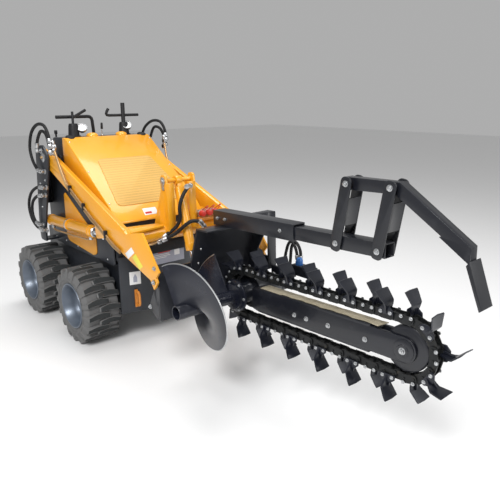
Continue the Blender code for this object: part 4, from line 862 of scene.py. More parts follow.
def build_arm_details():
    """Pivot caps, bolts, blank labels and hard pipes with their clips on the two arms."""
    sizes = bpy.context.scene.loader_sizes
    pivot = JOINT["loader_lift"]
    tip = JOINT["tool_tilt"]
    for side, sign in SIDES:
        out = (0, sign, 0)
        y = reach("loader_arm_" + side)
        outer = reach("tower_" + side)
        profile = [(0, 0), (0.030, 0), (0.030, 0.004), (0.020, 0.008), (0.010, 0.010), (0, 0.010)]
        cap = lathe("pivot_cap_" + side, profile, (pivot.x, sign * outer, pivot.z), out, 32)
        paint(cap, "zinc")
        eye = paint(drum("pivot_stud", (pivot.x, sign * (outer + 0.008), pivot.z),
                         (pivot.x, sign * (outer + 0.017), pivot.z), 0.009, 16), "brass")
        fit(merge("pivot_end_" + side, [cap, eye]), None, "chassis")
        plate = arm_place(y, sign)
        rows = [(plate(0.814, 0.652, 0.0), out), (plate(tip.x - AXLE.x, tip.z, 0.0025), out)]
        bolts("arm_tip_bolts_" + side, "loader_arms", rows, 0.011)
        label = [(0.520, 0.668), (0.590, 0.718), (0.620, 0.694), (0.550, 0.644)]
        fit(slab("blank_label_a_" + side, label, 0.0003, 0.0010, plate, 0.0003), "white", "loader_arms")
        label = [(0.594, 0.662), (0.632, 0.690), (0.700, 0.636), (0.664, 0.610)]
        label = slab("blank_label_b_" + side, label, 0.0003, 0.0010, plate, 0.0003)
        fit(label, "label_yellow", "loader_arms")
        for k, dz in enumerate((0.0, 0.020)):
            beside = sign * (y + 0.010)
            line = route(
                (-0.262, sign * (y + 0.024), 1.165 + dz), (-0.225, sign * (y + 0.014), 1.060 + dz),
                (-0.150, beside, 0.950 + dz), (-0.070, beside, 0.912 + dz), (0.160, beside, 0.790 + dz),
                (0.235, beside, 0.765 + dz * 0.8), (0.395, beside, 0.686 + dz * 0.8),
                (0.480, beside, 0.664 + dz * 0.6),
            )
            pipe("arm_pipe_%s_%d" % (side, k), "loader_arms", line, sizes.pipe_radius, "brass", 0.03)
            end = fitting("arm_pipe_end_%s_%d" % (side, k), [line[0], line[0] + Vector((-0.01, 0, 0.05))],
                          0.0085)
            fit(end, None, "loader_arms")
        clips = []
        for x, z in ((-0.110, 0.932), (0.06, 0.846), (0.32, 0.726)):
            inner, far = sorted((sign * (y + 0.001), sign * (y + 0.018)))
            clips.append(block("clip", at(x - 0.010, inner, z - 0.014), at(x + 0.010, far, z + 0.036), 0.003))
        fit(merge("pipe_clips_" + side, clips), "plastic", "loader_arms")


def build_tower_details():
    """Bolts, ports and hose loops behind the two towers."""
    sizes = bpy.context.scene.loader_sizes
    for side, sign in SIDES:
        outer = reach("tower_" + side)
        out = (0, sign, 0)
        places = ((-0.560, 1.02), (-0.560, 0.93), (-0.470, 0.96), (-0.560, 0.77), (-0.500, 0.62),
                  (-0.630, 0.62))
        bolts("tower_bolts_" + side, "chassis", [(at(x, sign * outer, z), out) for x, z in places], 0.007)
        radius = sizes.hose_radius
        y = sign * (outer + 0.026)
        near = y - sign * 0.004
        loops = {
            "upper": route((-0.455, y, 1.020), (-0.520, y, 1.032), (-0.585, y, 1.085), (-0.612, y, 1.165),
                           (-0.560, y, 1.262), (-0.455, y, 1.318), (-0.345, y, 1.320), (-0.285, y, 1.270),
                           (-0.262, y, 1.190)),
            "lower": route((-0.455, y, 0.915), (-0.560, y, 0.905), (-0.680, y, 0.850), (-0.742, y, 0.765),
                           (-0.722, y, 0.680), (-0.640, y, 0.628), (-0.525, y, 0.614)),
            "second": route((-0.485, near, 0.860), (-0.570, y, 0.845), (-0.662, y, 0.795),
                            (-0.690, y, 0.725), (-0.660, y, 0.665), (-0.580, y, 0.642)),
            "middle": route((-0.487, y, 1.150), (-0.470, y, 1.215), (-0.410, near, 1.278),
                            (-0.330, near, 1.268), (-0.285, y, 1.205), (-0.270, y, 1.150)),
        }
        for tag, line in loops.items():
            hose("hose_%s_%s" % (tag, side), "chassis", line, radius)
        ports = []
        for point in (end for line in loops.values() for end in (line[0], line[-1])):
            a = Vector((point.x, sign * (outer - 0.004), point.z))
            ports.append(drum("port", a, point + Vector((0, sign * 0.006, 0)), 0.0125, 6, 0.001))
            ports.append(drum("collar", a, a + Vector((0, sign * 0.010, 0)), 0.017, 20, 0.001))
        fit(merge("hose_ports_" + side, ports), "zinc", "chassis")


LIFT_REAR_PIN = Vector((-0.605, 0, 0.675))
LIFT_FRONT_PIN = Vector((0.225, 0, 0.712))


def build_lift_cylinder_details():
    """Weld rings, port bosses and the feed pipe under each lift cylinder."""
    sizes = bpy.context.scene.loader_sizes
    for side, sign in SIDES:
        body = "lift_barrel_" + side
        low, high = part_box("lift_barrel_" + side)
        y = (low.y + high.y) / 2
        along = (LIFT_FRONT_PIN - LIFT_REAR_PIN).normalized()
        up = Vector((-along.z, 0, along.x))

        def on(distance, height=0.0, across=0.0):
            point = LIFT_REAR_PIN + along * distance + up * height
            return at(point.x, y + across, point.z)

        rings = []
        for distance, wide, radius in ((0.060, 0.008, 0.0375), (0.340, 0.022, 0.0385),
                                       (0.658, 0.010, 0.0395), (0.690, 0.012, 0.0385)):
            profile = [(0.0335, 0), (radius, 0), (radius, wide), (0.0335, wide)]
            rings.append(lathe("ring", profile, on(distance), along, 36))
        fit(merge("barrel_rings_" + side, rings), "yellow", body)
        ports = [drum("boss", on(d, -0.030, sign * 0.008), on(d, -0.052, sign * 0.008), 0.013, 20)
                 for d in (0.090, 0.660)]
        fit(merge("barrel_ports_" + side, ports), "zinc", body)
        line = [on(0.090, -0.050, sign * 0.008), on(0.120, -0.064, sign * 0.008),
                on(0.40, -0.060, sign * 0.012), on(0.62, -0.056, sign * 0.012),
                on(0.660, -0.050, sign * 0.008)]
        pipe("barrel_pipe_" + side, body, line, sizes.pipe_radius, "brass", 0.02)
        fit(drum("barrel_clamp_" + side, on(0.338), on(0.350), 0.0405, 36), "zinc", body)
        profile = [(0.0188, 0.703), (0.030, 0.703), (0.032, 0.706), (0.032, 0.712), (0.027, 0.716)]
        profile.append((0.0188, 0.716))
        fit(lathe("gland_" + side, profile, on(0), along, 36), "zinc", body)


def build_tilt_details():
    """Pin retainers, hoses and blank couplers round the tilt cylinder and the cross tube."""
    sizes = bpy.context.scene.loader_sizes
    top = JOINT["tilt_barrel_swing"]
    for side, sign in SIDES:
        outline = []
        for k in range(13):
            angle = math.radians(-60 + 300 * k / 12)
            outline.append((0.024 * math.cos(angle), 0.024 * math.sin(angle)))
        outline += [(-0.004, -0.052), (0.016, -0.050)]

        def place(a, b, height, sign=sign):
            return Vector((top.x + a, sign * (0.1003 + height), top.z + b))

        keeper = slab("pin_keeper", outline, 0, 0.005, place, 0.0012)
        head = drum("pin_head", place(0, 0, 0.004), place(0, 0, 0.011), 0.012, 24)
        screw = drum("pin_screw", place(0.004, -0.040, 0.004), place(0.004, -0.040, 0.009), 0.006, 6)
        fit(merge("tilt_pin_keeper_" + side, [keeper, head, screw]), "zinc", "loader_arms")
    radius = sizes.hose_radius
    first = route((0.545, 0.050, 1.000), (0.560, 0.020, 0.995), (0.572, -0.028, 0.950), (0.572, -0.050, 0.890),
                  (0.566, -0.046, 0.825), (0.548, -0.060, 0.775), (0.520, -0.100, 0.735),
                  (0.490, -0.150, 0.700))
    second = route((0.655, 0.062, 0.770), (0.650, 0.030, 0.805), (0.630, -0.010, 0.812), (0.600, -0.040, 0.785),
                   (0.565, -0.075, 0.742), (0.530, -0.118, 0.712), (0.498, -0.160, 0.690))
    for name, line in (("tilt_hose_a", first), ("tilt_hose_b", second)):
        hose(name, "loader_arms", line, radius * 1.08)
    for k, line in enumerate((first, second)):
        end = line[-1]
        points = [end, end + Vector((-0.004, -0.035, -0.010)), at(0.470, -0.230, 0.668 + 0.01 * k),
                  at(0.462, -0.335, 0.664 + 0.012 * k)]
        pipe("tilt_pipe_%d" % k, "loader_arms", points, sizes.pipe_radius, "brass", 0.02)
    base = block("coupler_base", at(0.452, 0.112, 0.7825), at(0.560, 0.262, 0.800), 0.003)
    fit(base, "orange", "loader_arms")
    bodies = []
    caps = []
    rows = [0.135 + 0.048 * k for k in range(3)]
    for y in rows:
        a, b = at(0.470, y, 0.822), at(0.545, y - 0.012, 0.826)
        bodies.append(drum("coupler", a, b, 0.0135, 24))
        bodies.append(drum("coupler_ring", a + (b - a) * 0.55, a + (b - a) * 0.8, 0.0170, 24, 0.002))
        foot = at(0.505, y - 0.006, 0.798)
        bodies.append(drum("coupler_foot", foot, foot + Vector((0, 0, 0.022)), 0.009, 16))
        caps.append(drum("cap", b, b + (b - a).normalized() * 0.030, 0.0178, 24, 0.003, 0.0165))
        caps.append(drum("cap_lip", b, b + (b - a).normalized() * 0.006, 0.0200, 24, 0.001))
    fit(merge("coupler_bodies", bodies), "zinc", "loader_arms")
    fit(merge("coupler_caps", caps), "red", "loader_arms")
    ties = []
    for y in rows:
        line = route((0.560, y, 0.842), (0.572, y + 0.015, 0.870), (0.545, y + 0.025, 0.862),
                     (0.510, y + 0.015, 0.834))
        ties.append(tube("cap_tie", curved(line, 0.006), 0.0028, 0, 8))
    fit(merge("cap_ties", ties), "red", "loader_arms")


# --- trencher ----------------------------------------------------------------------------------

MEAN_RADIUS = 0.121
CUTTERS = 30


def loop_point(distance, radius):
    """Place and outward angle of a point on the chain's loop, in the boom's own coordinates."""
    arc = math.pi * MEAN_RADIUS
    distance %= 2 * (BOOM_LENGTH + arc)
    if distance < BOOM_LENGTH:
        return distance, radius, math.pi / 2
    distance -= BOOM_LENGTH
    if distance < arc:
        angle = math.pi / 2 - distance / MEAN_RADIUS
        return BOOM_LENGTH + radius * math.cos(angle), radius * math.sin(angle), angle
    distance -= arc
    if distance < BOOM_LENGTH:
        return BOOM_LENGTH - distance, -radius, -math.pi / 2
    distance -= BOOM_LENGTH
    angle = -math.pi / 2 - distance / MEAN_RADIUS
    return radius * math.cos(angle), radius * math.sin(angle), angle


def loop_matrix(distance, radius):
    """Moves a model made round the origin, +X along the chain and +Z outwards, onto the loop."""
    x, z, angle = loop_point(distance, radius)
    turn = Matrix.Rotation(math.pi / 2 - angle, 4, "Y")
    tilt = Matrix.Rotation(-PITCH, 4, "Y")
    return Matrix.Translation(tool_at(x, 0, z)) @ tilt @ turn


def link_plate(name, length, height, low, high):
    outline = []
    for k in range(7):
        angle = math.radians(-90 + 30 * k)
        outline.append((length / 2 + height / 2 * math.cos(angle) * 0.7, height / 2 * math.sin(angle)))
    for k in range(7):
        angle = math.radians(90 + 30 * k)
        outline.append((-length / 2 + height / 2 * math.cos(angle) * 0.7, height / 2 * math.sin(angle)))
    return slab(name, outline, low, high, lambda a, b, h: Vector((a, h, b)), 0)


def cutter_model(side):
    """A cup cutter: a bolted foot on one side plate and a blade that widens and curls forward."""
    rings = []
    steps = ((0.000, 0.002, 0.006, 0.036, 0.0045), (0.014, 0.003, 0.002, 0.042, 0.0045),
             (0.034, 0.006, -0.002, 0.051, 0.0042), (0.048, 0.006, -0.004, 0.059, 0.0040),
             (0.052, 0.004, -0.005, 0.061, 0.0040), (0.072, -0.009, -0.006, 0.069, 0.0036),
             (0.090, -0.020, -0.007, 0.075, 0.0032), (0.094, -0.022, -0.007, 0.076, 0.0020))
    for height, lean, inner, outer, half in steps:
        bow = 0.003 * math.sin(math.pi * height / 0.094)
        ring = []
        for share in (0.0, 0.5, 1.0):
            y = side * (inner + (outer - inner) * share)
            cup = bow - 0.004 * math.sin(math.pi * share) * (height / 0.094)
            ring.append(Vector((lean + cup - half, y, height)))
        for share in (1.0, 0.5, 0.0):
            y = side * (inner + (outer - inner) * share)
            cup = bow - 0.004 * math.sin(math.pi * share) * (height / 0.094)
            ring.append(Vector((lean + cup + half, y, height)))
        rings.append(ring)
    blade = loft("cutter_blade", rings, 0)

    def upright(a, b, height):
        return Vector((a, height, b))

    outline = [(-0.036, -0.006), (0.036, -0.006), (0.034, 0.014), (0.014, 0.030), (-0.014, 0.030)]
    outline.append((-0.034, 0.014))
    foot = slab("cutter_foot", outline, side * 0.0285, side * 0.0345, upright, 0.001)
    rib = [(-0.014, 0.004), (0.014, 0.004), (0.010, 0.050), (-0.004, 0.050)]
    brace = slab("cutter_brace", rib, side * 0.020, side * 0.026, upright, 0.001)
    return merge("cutter", [paint(blade, "cutter"), paint(foot, "cutter"), paint(brace, "cutter")])


def build_chain():
    """The whole chain: rollers, side plates, pin ends, bolted cup cutters left and right in turn."""
    sizes = bpy.context.scene.loader_sizes
    total = 2 * (BOOM_LENGTH + math.pi * MEAN_RADIUS)
    count = round(total / sizes.chain_pitch / 2) * 2
    pitch = total / count
    outer_places, inner_places, pins = [], [], []
    for k in range(count):
        matrix = loop_matrix(pitch * (k + 0.5), MEAN_RADIUS)
        (outer_places if k % 2 else inner_places).append(matrix)
        pins.append(loop_matrix(pitch * k, MEAN_RADIUS))
    parts = []
    for places, low, high in ((outer_places, 0.0205, 0.0255), (inner_places, 0.0145, 0.0200)):
        for sign in (-1, 1):
            model = link_plate("plate", pitch, 0.036, sign * low, sign * high)
            parts += copied(paint(model, "chain"), places)
    profile = [(0, -0.0142), (0.0125, -0.0142), (0.0125, 0.0142), (0, 0.0142)]
    parts += copied(paint(lathe("roller", profile, (0, 0, 0), (0, 1, 0), 14), "chain"), pins)
    profile = [(0, -0.029), (0.0045, -0.029), (0.0052, -0.0275), (0.0052, 0.0275), (0.0045, 0.029), (0, 0.029)]
    parts += copied(paint(lathe("pin", profile, (0, 0, 0), (0, 1, 0), 10), "chain"), pins)
    chain = merge("linked_digging_chain", parts)
    near, far = [], []
    heads = []
    for i in range(CUTTERS):
        matrix = loop_matrix(total * (i + 0.785) / CUTTERS, MEAN_RADIUS + 0.010)
        side = -1 if i % 2 else 1
        (far if side > 0 else near).append(matrix)
        for along in (-0.022, 0.022):
            heads.append(matrix @ aim(Vector((along, side * 0.0345, 0.004)), (0, side, 0)))
            heads.append(matrix @ aim(Vector((along, -side * 0.0290, 0.004)), (0, -side, 0)))
    cutters = merge("cup_cutters", copied(cutter_model(-1), near) + copied(cutter_model(1), far))
    screws = paint(merge("cutter_bolts", copied(bolt_model(0.0070), heads)), "zinc")
    piece = merge("linked_digging_chain", [chain, cutters, screws])
    fit(piece, None, "tool")
    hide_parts("digging_chain")


def build_boom_details():
    """Bolts, nose bearing caps, wear strip and nose wheel ring on the boom."""
    y = reach("trencher_boom")
    places = ((0.387, -0.011), (0.463, -0.010), (0.593, -0.006), (0.792, -0.010))
    rows = [(tool_at(x, sign * y, z), (0, sign, 0)) for _, sign in SIDES for x, z in places]
    bolts("boom_bolts", "tool", rows, 0.0105)
    for side, sign in SIDES:
        out = (0, sign, 0)
        profile = [(0, 0.0), (0.046, 0.0), (0.046, 0.003), (0.040, 0.006), (0.026, 0.007), (0.024, 0.010)]
        profile.append((0, 0.010))
        cap = lathe("nose_cap_" + side, profile, tool_at(BOOM_LENGTH, sign * y, 0), out, 40)
        bolts("nose_bolt_" + side, "tool", [(tool_at(BOOM_LENGTH, sign * (y + 0.009), 0), out)], 0.013)
        fit(cap, "ink", "tool")
    edge = [(0.150, -0.030), (0.290, -0.031)]
    for k in range(18):
        edge.append((0.300 + 0.030 * k, -0.024 + 0.003 * math.sin(k * 2.1) + 0.002 * math.sin(k * 5.3)))
    edge += [(0.850, -0.030), (0.862, 0.030)]
    edge += [(0.300 + 0.040 * k, 0.028 + 0.002 * math.sin(k * 3.7)) for k in range(13, -1, -1)]
    edge += [(0.150, 0.030)]
    top = 0.0625
    strip = slab("boom_wear_strip", edge, 0.0, 0.004, lambda a, b, h: tool_at(a, b, top + h), 0.0008)
    fit(strip, "boom_strip", "tool")
    profile = [(0.020, -0.021), (0.080, -0.021), (0.085, -0.018), (0.085, -0.010), (0.070, -0.006)]
    profile += [(radius, -across) for radius, across in reversed(profile)]
    ring = lathe("nose_wheel_ring", profile, tool_at(BOOM_LENGTH, 0, 0), (0, 1, 0), 56)
    fit(ring, "ink", "tool")


def build_auger():
    """A smooth flight on its tube, with a bright zinc band painted along its outer edge, its hub and their
    bolts.
    """
    outer_end, inner_end = (corner.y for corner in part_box("spoil_auger"))
    radius = 0.237
    start_y, pitch, start_angle = -0.428, 0.318, math.radians(-30)
    steps = 96
    rings = []
    for k in range(steps + 1):
        angle = start_angle + math.tau * k / steps
        y = start_y + pitch * k / steps
        ring = []
        for r, dy in ((0.034, -0.0035), (0.090, -0.0035), (0.160, -0.0033), (radius - 0.005, -0.0032),
                      (radius, -0.0012), (radius, 0.0012), (radius - 0.005, 0.0032), (0.160, 0.0033),
                      (0.090, 0.0035), (0.034, 0.0035)):
            ring.append(SHAFT + Vector((r * math.sin(angle), y + dy, r * math.cos(angle))))
        rings.append(ring)
    flight = loft("flight", rings)
    paint(flight, "steel_blue", "zinc")
    # The faces along the flight's outer edge get the bright zinc finish, a painted band.
    for face in flight.data.polygons:
        offset = face.center - SHAFT
        if math.hypot(offset.x, offset.z) > radius - 0.0045:
            face.material_index = 1
    profile = [(0.0305, outer_end), (0.0345, outer_end), (0.036, outer_end + 0.002), (0.036, -0.100),
               (0.066, -0.0955), (0.066, -0.0785), (0.083, -0.076), (0.085, -0.074),
               (0.085, inner_end - 0.002), (0.083, inner_end), (0.0, inner_end), (0.0, -0.098),
               (0.0305, -0.110)]
    stem = lathe("stem", profile, (SHAFT.x, 0, SHAFT.z), (0, 1, 0), 48)
    paint(stem, "steel_blue")
    nuts = []
    for k in range(6):
        angle = math.tau * k / 6
        place = SHAFT + Vector((0.075 * math.cos(angle), -0.0765, 0.075 * math.sin(angle)))
        nuts.append(aim(place, (0, -1, 0)))
    nuts = paint(merge("nuts", copied(bolt_model(0.007), nuts)), "zinc")
    piece = merge("ground_spoil_auger", [flight, stem, nuts])
    fit(piece, None, "auger")
    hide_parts("spoil_auger")


def build_crumber_details():
    """Bolts through the sleeve and at both ends of the links."""
    y = reach("crumber_sleeve")
    for side, sign in SIDES:
        rows = [(tool_at(x, sign * y, 0.380), (0, sign, 0)) for x in (-0.165, -0.105, 0.300)]
        bolts("sleeve_bolts_" + side, "tool", rows, 0.0085)
    for name, body in (("crumber_rear_link_swing", "crumber_rear_link"),
                       ("crumber_front_link_swing", "crumber_front_link")):
        foot = JOINT[name]
        wide = reach(body)
        head = JOINT["crumber_arm_swing"] - JOINT["crumber_rear_link_swing"] + foot
        rows = []
        for sign in (-1, 1):
            rows += [(Vector((p.x, sign * wide, p.z)), (0, sign, 0)) for p in (foot, head)]
        bolts("link_bolts_" + body, body, rows, 0.0115)


def build_frame_details():
    """The frame's bolts and handle, and the drive motor with its valve block and hoses."""
    sizes = bpy.context.scene.loader_sizes
    corners = ((-0.090, 0.294, 0.318), (-0.055, 0.296, 0.320), (-0.050, 0.296, 0.250), (-0.090, 0.294, 0.245))
    handle = eased([tool_at(*corner) for corner in corners], 0.02)
    fit(tube("frame_handle", handle, 0.0065, 0, 12), "ink", "tool")
    profile = [(0, 0.0), (0.046, 0.0), (0.048, 0.004), (0.048, 0.060), (0.042, 0.066), (0.036, 0.070),
               (0.036, 0.115), (0.030, 0.122), (0, 0.122)]
    motor = paint(lathe("motor", profile, tool_at(0, 0.216, 0), (0, 1, 0), 40), "ink")
    ports = [drum("port", tool_at(dx, 0.300, 0.030), tool_at(dx, 0.300, 0.062), 0.013, 6, 0.001)
             for dx in (-0.018, 0.022)]
    ports = paint(merge("ports", ports), "zinc")
    fit(merge("drive_motor", [motor, ports]), None, "tool")
    box = block("valve_block", tool_at(0.135, 0.200, 0.085), tool_at(0.275, 0.255, 0.135), 0.004)
    post = block("valve_bracket", tool_at(0.060, 0.216, 0.070), tool_at(0.150, 0.228, 0.110), 0.002)
    strut = block("valve_strut", tool_at(-0.02, 0.205, 0.060), tool_at(0.075, 0.226, 0.100), 0.003)
    fit(merge("far_valve_block", [box, post, strut]), "ink", "tool")
    cap = lathe("valve_cap", [(0, 0), (0.018, 0), (0.020, 0.004), (0.018, 0.030), (0.012, 0.040), (0, 0.042)],
                tool_at(0.172, 0.226, 0.134), (0, 0, 1), 28)
    fit(cap, "blue", "tool")
    for k, dx in enumerate((0.0, 0.030)):
        line = [tool_at(-0.018 + 0.040 * k, 0.300, 0.056), tool_at(-0.010 + 0.045 * k, 0.298, 0.110),
                tool_at(0.030 + dx, 0.285, 0.205), tool_at(0.080 + dx, 0.265, 0.240),
                tool_at(0.128 + dx, 0.248, 0.205), tool_at(0.150 + dx * 0.6, 0.240, 0.134)]
        hose("motor_hose_%d" % k, "tool", line, sizes.hose_radius * 0.85, (True, True), 0.1)
    wide = reach("quick_attach_plate")
    bolts("cheek_bolts", "tool", [(at(0.761, sign * wide, 0.4315), (0, sign, 0)) for sign in (-1, 1)], 0.011)
    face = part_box("trencher_frame")[0].y
    rows = [(tool_at(-0.186 + (z - 0.12) * 0.35, face, z), (0, -1, 0)) for z in (0.16, 0.24)]
    bolts("guard_bolts", "tool", rows, 0.0060, "zinc", dome_model)


# --- chassis trim --------------------------------------------------------------------------------


def build_chassis_trim():
    """Blank plates on the front and the screws of the side panels."""
    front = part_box("chassis_tub")[1].x

    def nose_place(a, b, height):
        return Vector((front + height, a, b))

    plate = slab("blank_front_plate", [(-0.085, 0.480), (0.165, 0.480), (0.165, 0.572), (-0.085, 0.572)],
                 0.0004, 0.0014, nose_place, 0.0004)
    fit(plate, "label_grey", "chassis")
    header = slab("blank_front_header", [(-0.030, 0.550), (0.060, 0.550), (0.060, 0.568), (-0.030, 0.568)],
                  0.0016, 0.0020, nose_place, 0.0)
    fit(header, "red", "chassis")
    marks = []
    for y0, y1, z0, z1 in ((-0.070, 0.050, 0.538, 0.542), (-0.070, 0.060, 0.528, 0.532),
                           (-0.070, 0.030, 0.518, 0.522), (0.090, 0.130, 0.520, 0.556)):
        marks.append(slab("mark", [(y0, z0), (y1, z0), (y1, z1), (y0, z1)], 0.0016, 0.0020, nose_place, 0.0))
    fit(merge("blank_front_bars", marks), "white", "chassis")
    sweep = math.atan2(0.043, 0.17)
    for side, sign in SIDES:
        def side_place(a, b, height, sign=sign):
            y = 0.110 + a * math.cos(sweep)
            x = front - a * math.sin(sweep)
            return Vector((x + height * math.cos(sweep), sign * (y + height * math.sin(sweep)), b))

        if sign < 0:
            outline = [(0.045, 0.380), (0.115, 0.380), (0.115, 0.462), (0.045, 0.462)]
            sticker = slab("blank_side_sticker", outline, 0.0006, 0.0014, side_place, 0.0003)
            fit(sticker, "white", "chassis")
            outline = [(0.068, 0.395), (0.092, 0.395), (0.092, 0.425), (0.080, 0.448), (0.068, 0.425)]
            mark = slab("blank_sticker_mark", outline, 0.0015, 0.0018, side_place, 0.0)
            fit(mark, "label_grey", "chassis")
        y = reach("side_panel_" + side)
        out = (0, sign, 0)
        places = ((-0.430, 0.545), (-0.250, 0.540), (-0.060, 0.540), (0.160, 0.540), (-0.590, 0.545))
        rows = [(at(x, sign * y, z), out) for x, z in places]
        bolts("panel_screws_" + side, "chassis", rows, 0.006, "zinc", dome_model)


# --- stage ---------------------------------------------------------------------------------------


def build_stage():
    """A pale floor, soft lights and the camera."""
    start()
    bpy.ops.mesh.primitive_plane_add(size=40, location=(0, 0, -0.0005))
    floor = named(bpy.context.object, "floor")
    made = bpy.data.materials.new("pale_floor")
    made.use_nodes = True
    surface = made.node_tree.nodes["Principled BSDF"]
    surface.inputs["Base Color"].default_value = (0.86, 0.86, 0.86, 1)
    surface.inputs["Roughness"].default_value = 0.9
    floor.data.materials.append(made)
    world = bpy.data.worlds.new("studio")
    bpy.context.scene.world = world
    bpy.context.scene.view_settings.view_transform = "Standard"
    world.use_nodes = True
    sky = world.node_tree.nodes["Background"]
    sky.inputs["Color"].default_value = (1.0, 1.0, 1.0, 1)
    sky.inputs["Strength"].default_value = 0.42
    for name, place, target, power, wide in (
        ("key", (2.4, -3.4, 4.4), (0.1, 0, 0.5), 250, 1.8),
        ("fill", (4.6, 1.8, 2.8), (0.2, 0, 0.6), 70, 2.2),
        ("top", (-0.8, 0.6, 4.8), (0, 0, 0.6), 110, 2.6),
    ):
        light = bpy.data.lights.new(name, "AREA")
        light.energy = power
        light.size = wide
        lamp = bpy.data.objects.new(name, light)
        bpy.context.scene.collection.objects.link(lamp)
        lamp.location = place
        lamp.rotation_euler = (Vector(target) - Vector(place)).to_track_quat("-Z", "Y").to_euler()
    camera = bpy.data.cameras.new("camera")
    camera.lens = bpy.context.scene.loader_sizes.lens
    camera.sensor_width = 36
    viewer = bpy.data.objects.new("camera", camera)
    bpy.context.scene.collection.objects.link(viewer)
    viewer.location = at(3.1155, -1.7738, 1.4914)
    viewer.rotation_euler = (math.radians(90 - 15.65), 0, math.radians(48.44))
    bpy.context.scene.camera = viewer


NODE_FINISHES = (
    (("tyre",), "tyre"), (("rim",), "rim"), (("hood_grille",), "grille"), (("hood",), "yellow"),
    (("loader_arm", "arm_cross", "lift_barrel", "tilt_barrel"), "yellow"), (("side_vent",), "yellow_vent"),
    (("lift_rod", "tilt_rod"), "chrome"), (("front_axle", "rear_axle", "arm_pin", "lift_pin"), "zinc"),
    (("engine",), "iron"), (("tow_hook",), "orange"), (("control_lever", "hand_rail"), "plastic"),
    (("front_bumper",), "rubber"),
    (("chassis_tub", "side_panel", "rear_console", "rear_deck", "tower"), "slate"),
    (("quick_attach", "trencher", "drive_housing", "nose_idler", "crumber", "operator_platform"), "ink"),
    (("digging_chain",), "chain"), (("spoil_auger",), "steel_blue"),
)


def dress_nodes():
    """Gives every carried-over solid its finish, eased edges and smooth round faces."""
    for name, obj in frame["nodes"].items():
        finish = next(value for starts, value in NODE_FINISHES if name.startswith(starts))
        paint(obj, finish)
        weld = obj.modifiers.new("weld", "WELD")
        weld.merge_threshold = 0.00002
        if obj.hide_render:
            continue
        ease = obj.modifiers.new("ease", "BEVEL")
        ease.width = 0.0016
        ease.segments = 2
        ease.limit_method = "ANGLE"
        ease.angle_limit = math.radians(35)
        ease.harden_normals = False
        for face in obj.data.polygons:
            face.use_smooth = True


# --- operators and panel -----------------------------------------------------------------------


def each_wheel(build):
    for end in ENDS:
        for side, sign in SIDES:
            build(end, side, sign)




class LoaderStep:
    """Shared by the operators below: each runs its own builder."""

    bl_options = {"REGISTER", "UNDO"}

    def execute(self, context):
        self.build()
        return {"FINISHED"}


class OBJECT_OT_loader_stage(LoaderStep, bpy.types.Operator):
    """Floor, lights and camera"""

    bl_idname = "object.loader_stage"
    bl_label = "Stage"
    build = staticmethod(build_stage)


class OBJECT_OT_loader_tyres(LoaderStep, bpy.types.Operator):
    """Treaded tyres on the four wheels"""

    bl_idname = "object.loader_tyres"
    bl_label = "Tyres"
    build = staticmethod(lambda: each_wheel(build_tyre))


class OBJECT_OT_loader_rims(LoaderStep, bpy.types.Operator):
    """Dished rims with nuts and valves"""

    bl_idname = "object.loader_rims"
    bl_label = "Rims"
    build = staticmethod(lambda: each_wheel(build_rim))


class OBJECT_OT_loader_hood(LoaderStep, bpy.types.Operator):
    """Pads, screws and blank plates on the hood"""

    bl_idname = "object.loader_hood"
    bl_label = "Hood trim"
    build = staticmethod(build_hood_trim)


class OBJECT_OT_loader_controls(LoaderStep, bpy.types.Operator):
    """Dials, small levers and domes"""

    bl_idname = "object.loader_controls"
    bl_label = "Controls"
    build = staticmethod(build_controls)


class OBJECT_OT_loader_arms(LoaderStep, bpy.types.Operator):
    """Caps, bolts, labels and pipes on the arms"""

    bl_idname = "object.loader_arms"
    bl_label = "Arm details"
    build = staticmethod(build_arm_details)


class OBJECT_OT_loader_towers(LoaderStep, bpy.types.Operator):
    """Bolts, ports and hose loops"""

    bl_idname = "object.loader_towers"
    bl_label = "Tower details"
    build = staticmethod(build_tower_details)


class OBJECT_OT_loader_lift(LoaderStep, bpy.types.Operator):
    """Rings, ports and pipes of the lift cylinders"""

    bl_idname = "object.loader_lift"
    bl_label = "Lift cylinders"
    build = staticmethod(build_lift_cylinder_details)


class OBJECT_OT_loader_tilt(LoaderStep, bpy.types.Operator):
    """Keepers, hoses and couplers"""

    bl_idname = "object.loader_tilt"
    bl_label = "Tilt cylinder"
    build = staticmethod(build_tilt_details)


class OBJECT_OT_loader_chain(LoaderStep, bpy.types.Operator):
    """Links, pins and cup cutters"""

    bl_idname = "object.loader_chain"
    bl_label = "Digging chain"
    build = staticmethod(build_chain)


class OBJECT_OT_loader_boom(LoaderStep, bpy.types.Operator):
    """Bolts, nose caps and wear strip"""

    bl_idname = "object.loader_boom"
    bl_label = "Boom details"
    build = staticmethod(build_boom_details)


class OBJECT_OT_loader_auger(LoaderStep, bpy.types.Operator):
    """Flight, tube and hub"""

    bl_idname = "object.loader_auger"
    bl_label = "Spoil auger"
    build = staticmethod(build_auger)


class OBJECT_OT_loader_crumber(LoaderStep, bpy.types.Operator):
    """Bolts of the crumber bar"""

    bl_idname = "object.loader_crumber"
    bl_label = "Crumber details"
    build = staticmethod(build_crumber_details)


class OBJECT_OT_loader_frame(LoaderStep, bpy.types.Operator):
    """Handle, motor and hoses"""

    bl_idname = "object.loader_frame"
    bl_label = "Frame details"
    build = staticmethod(build_frame_details)


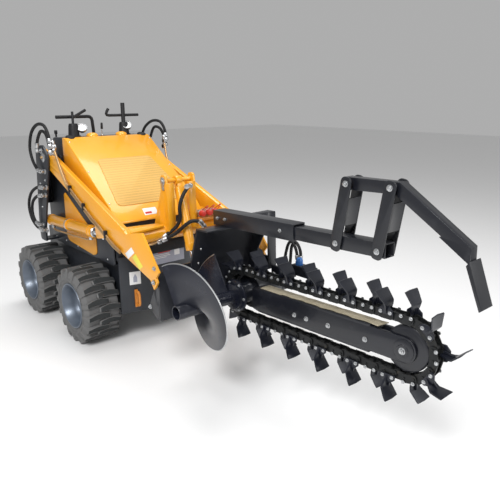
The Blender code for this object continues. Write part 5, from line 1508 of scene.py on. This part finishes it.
class OBJECT_OT_loader_trim(LoaderStep, bpy.types.Operator):
    """Blank plates and screws"""

    bl_idname = "object.loader_trim"
    bl_label = "Chassis trim"
    build = staticmethod(build_chassis_trim)


class OBJECT_OT_loader_finish(LoaderStep, bpy.types.Operator):
    """Finishes of the carried-over solids"""

    bl_idname = "object.loader_finish"
    bl_label = "Finishes"
    build = staticmethod(dress_nodes)


class VIEW3D_PT_loader(bpy.types.Panel):
    """Lists the sizes, the colours and each step of the machine"""

    bl_label = "Mini Skid Steer Loader"
    bl_idname = "VIEW3D_PT_loader"
    bl_space_type = "VIEW_3D"
    bl_region_type = "UI"
    bl_category = "Loader"

    def draw(self, context):
        layout = self.layout
        for holder in (context.scene.loader_sizes, context.scene.loader_colours):
            for name in holder.__annotations__:
                layout.prop(holder, name)
        for step in OPERATORS:
            layout.operator(step.bl_idname)


OPERATORS = (
    OBJECT_OT_loader_stage,
    OBJECT_OT_loader_tyres,
    OBJECT_OT_loader_rims,
    OBJECT_OT_loader_hood,
    OBJECT_OT_loader_controls,
    OBJECT_OT_loader_arms,
    OBJECT_OT_loader_towers,
    OBJECT_OT_loader_lift,
    OBJECT_OT_loader_tilt,
    OBJECT_OT_loader_chain,
    OBJECT_OT_loader_boom,
    OBJECT_OT_loader_auger,
    OBJECT_OT_loader_crumber,
    OBJECT_OT_loader_frame,
    OBJECT_OT_loader_trim,
    OBJECT_OT_loader_finish,
)
CLASSES = (LoaderSizes, LoaderColours, *OPERATORS, VIEW3D_PT_loader)


def register():
    for made in CLASSES:
        bpy.utils.register_class(made)
    bpy.types.Scene.loader_sizes = bpy.props.PointerProperty(type=LoaderSizes)
    bpy.types.Scene.loader_colours = bpy.props.PointerProperty(type=LoaderColours)


def unregister():
    del bpy.types.Scene.loader_colours
    del bpy.types.Scene.loader_sizes
    for made in reversed(CLASSES):
        bpy.utils.unregister_class(made)


def main():
    register()
    for make in (patina_group, streak_group, perforation_group):
        tree = make()
        GROUPS[tree.name] = tree
    for step in OPERATORS:
        area, name = step.bl_idname.split(".")
        getattr(getattr(bpy.ops, area), name)()
    start()


if __name__ == "__main__":
    main()
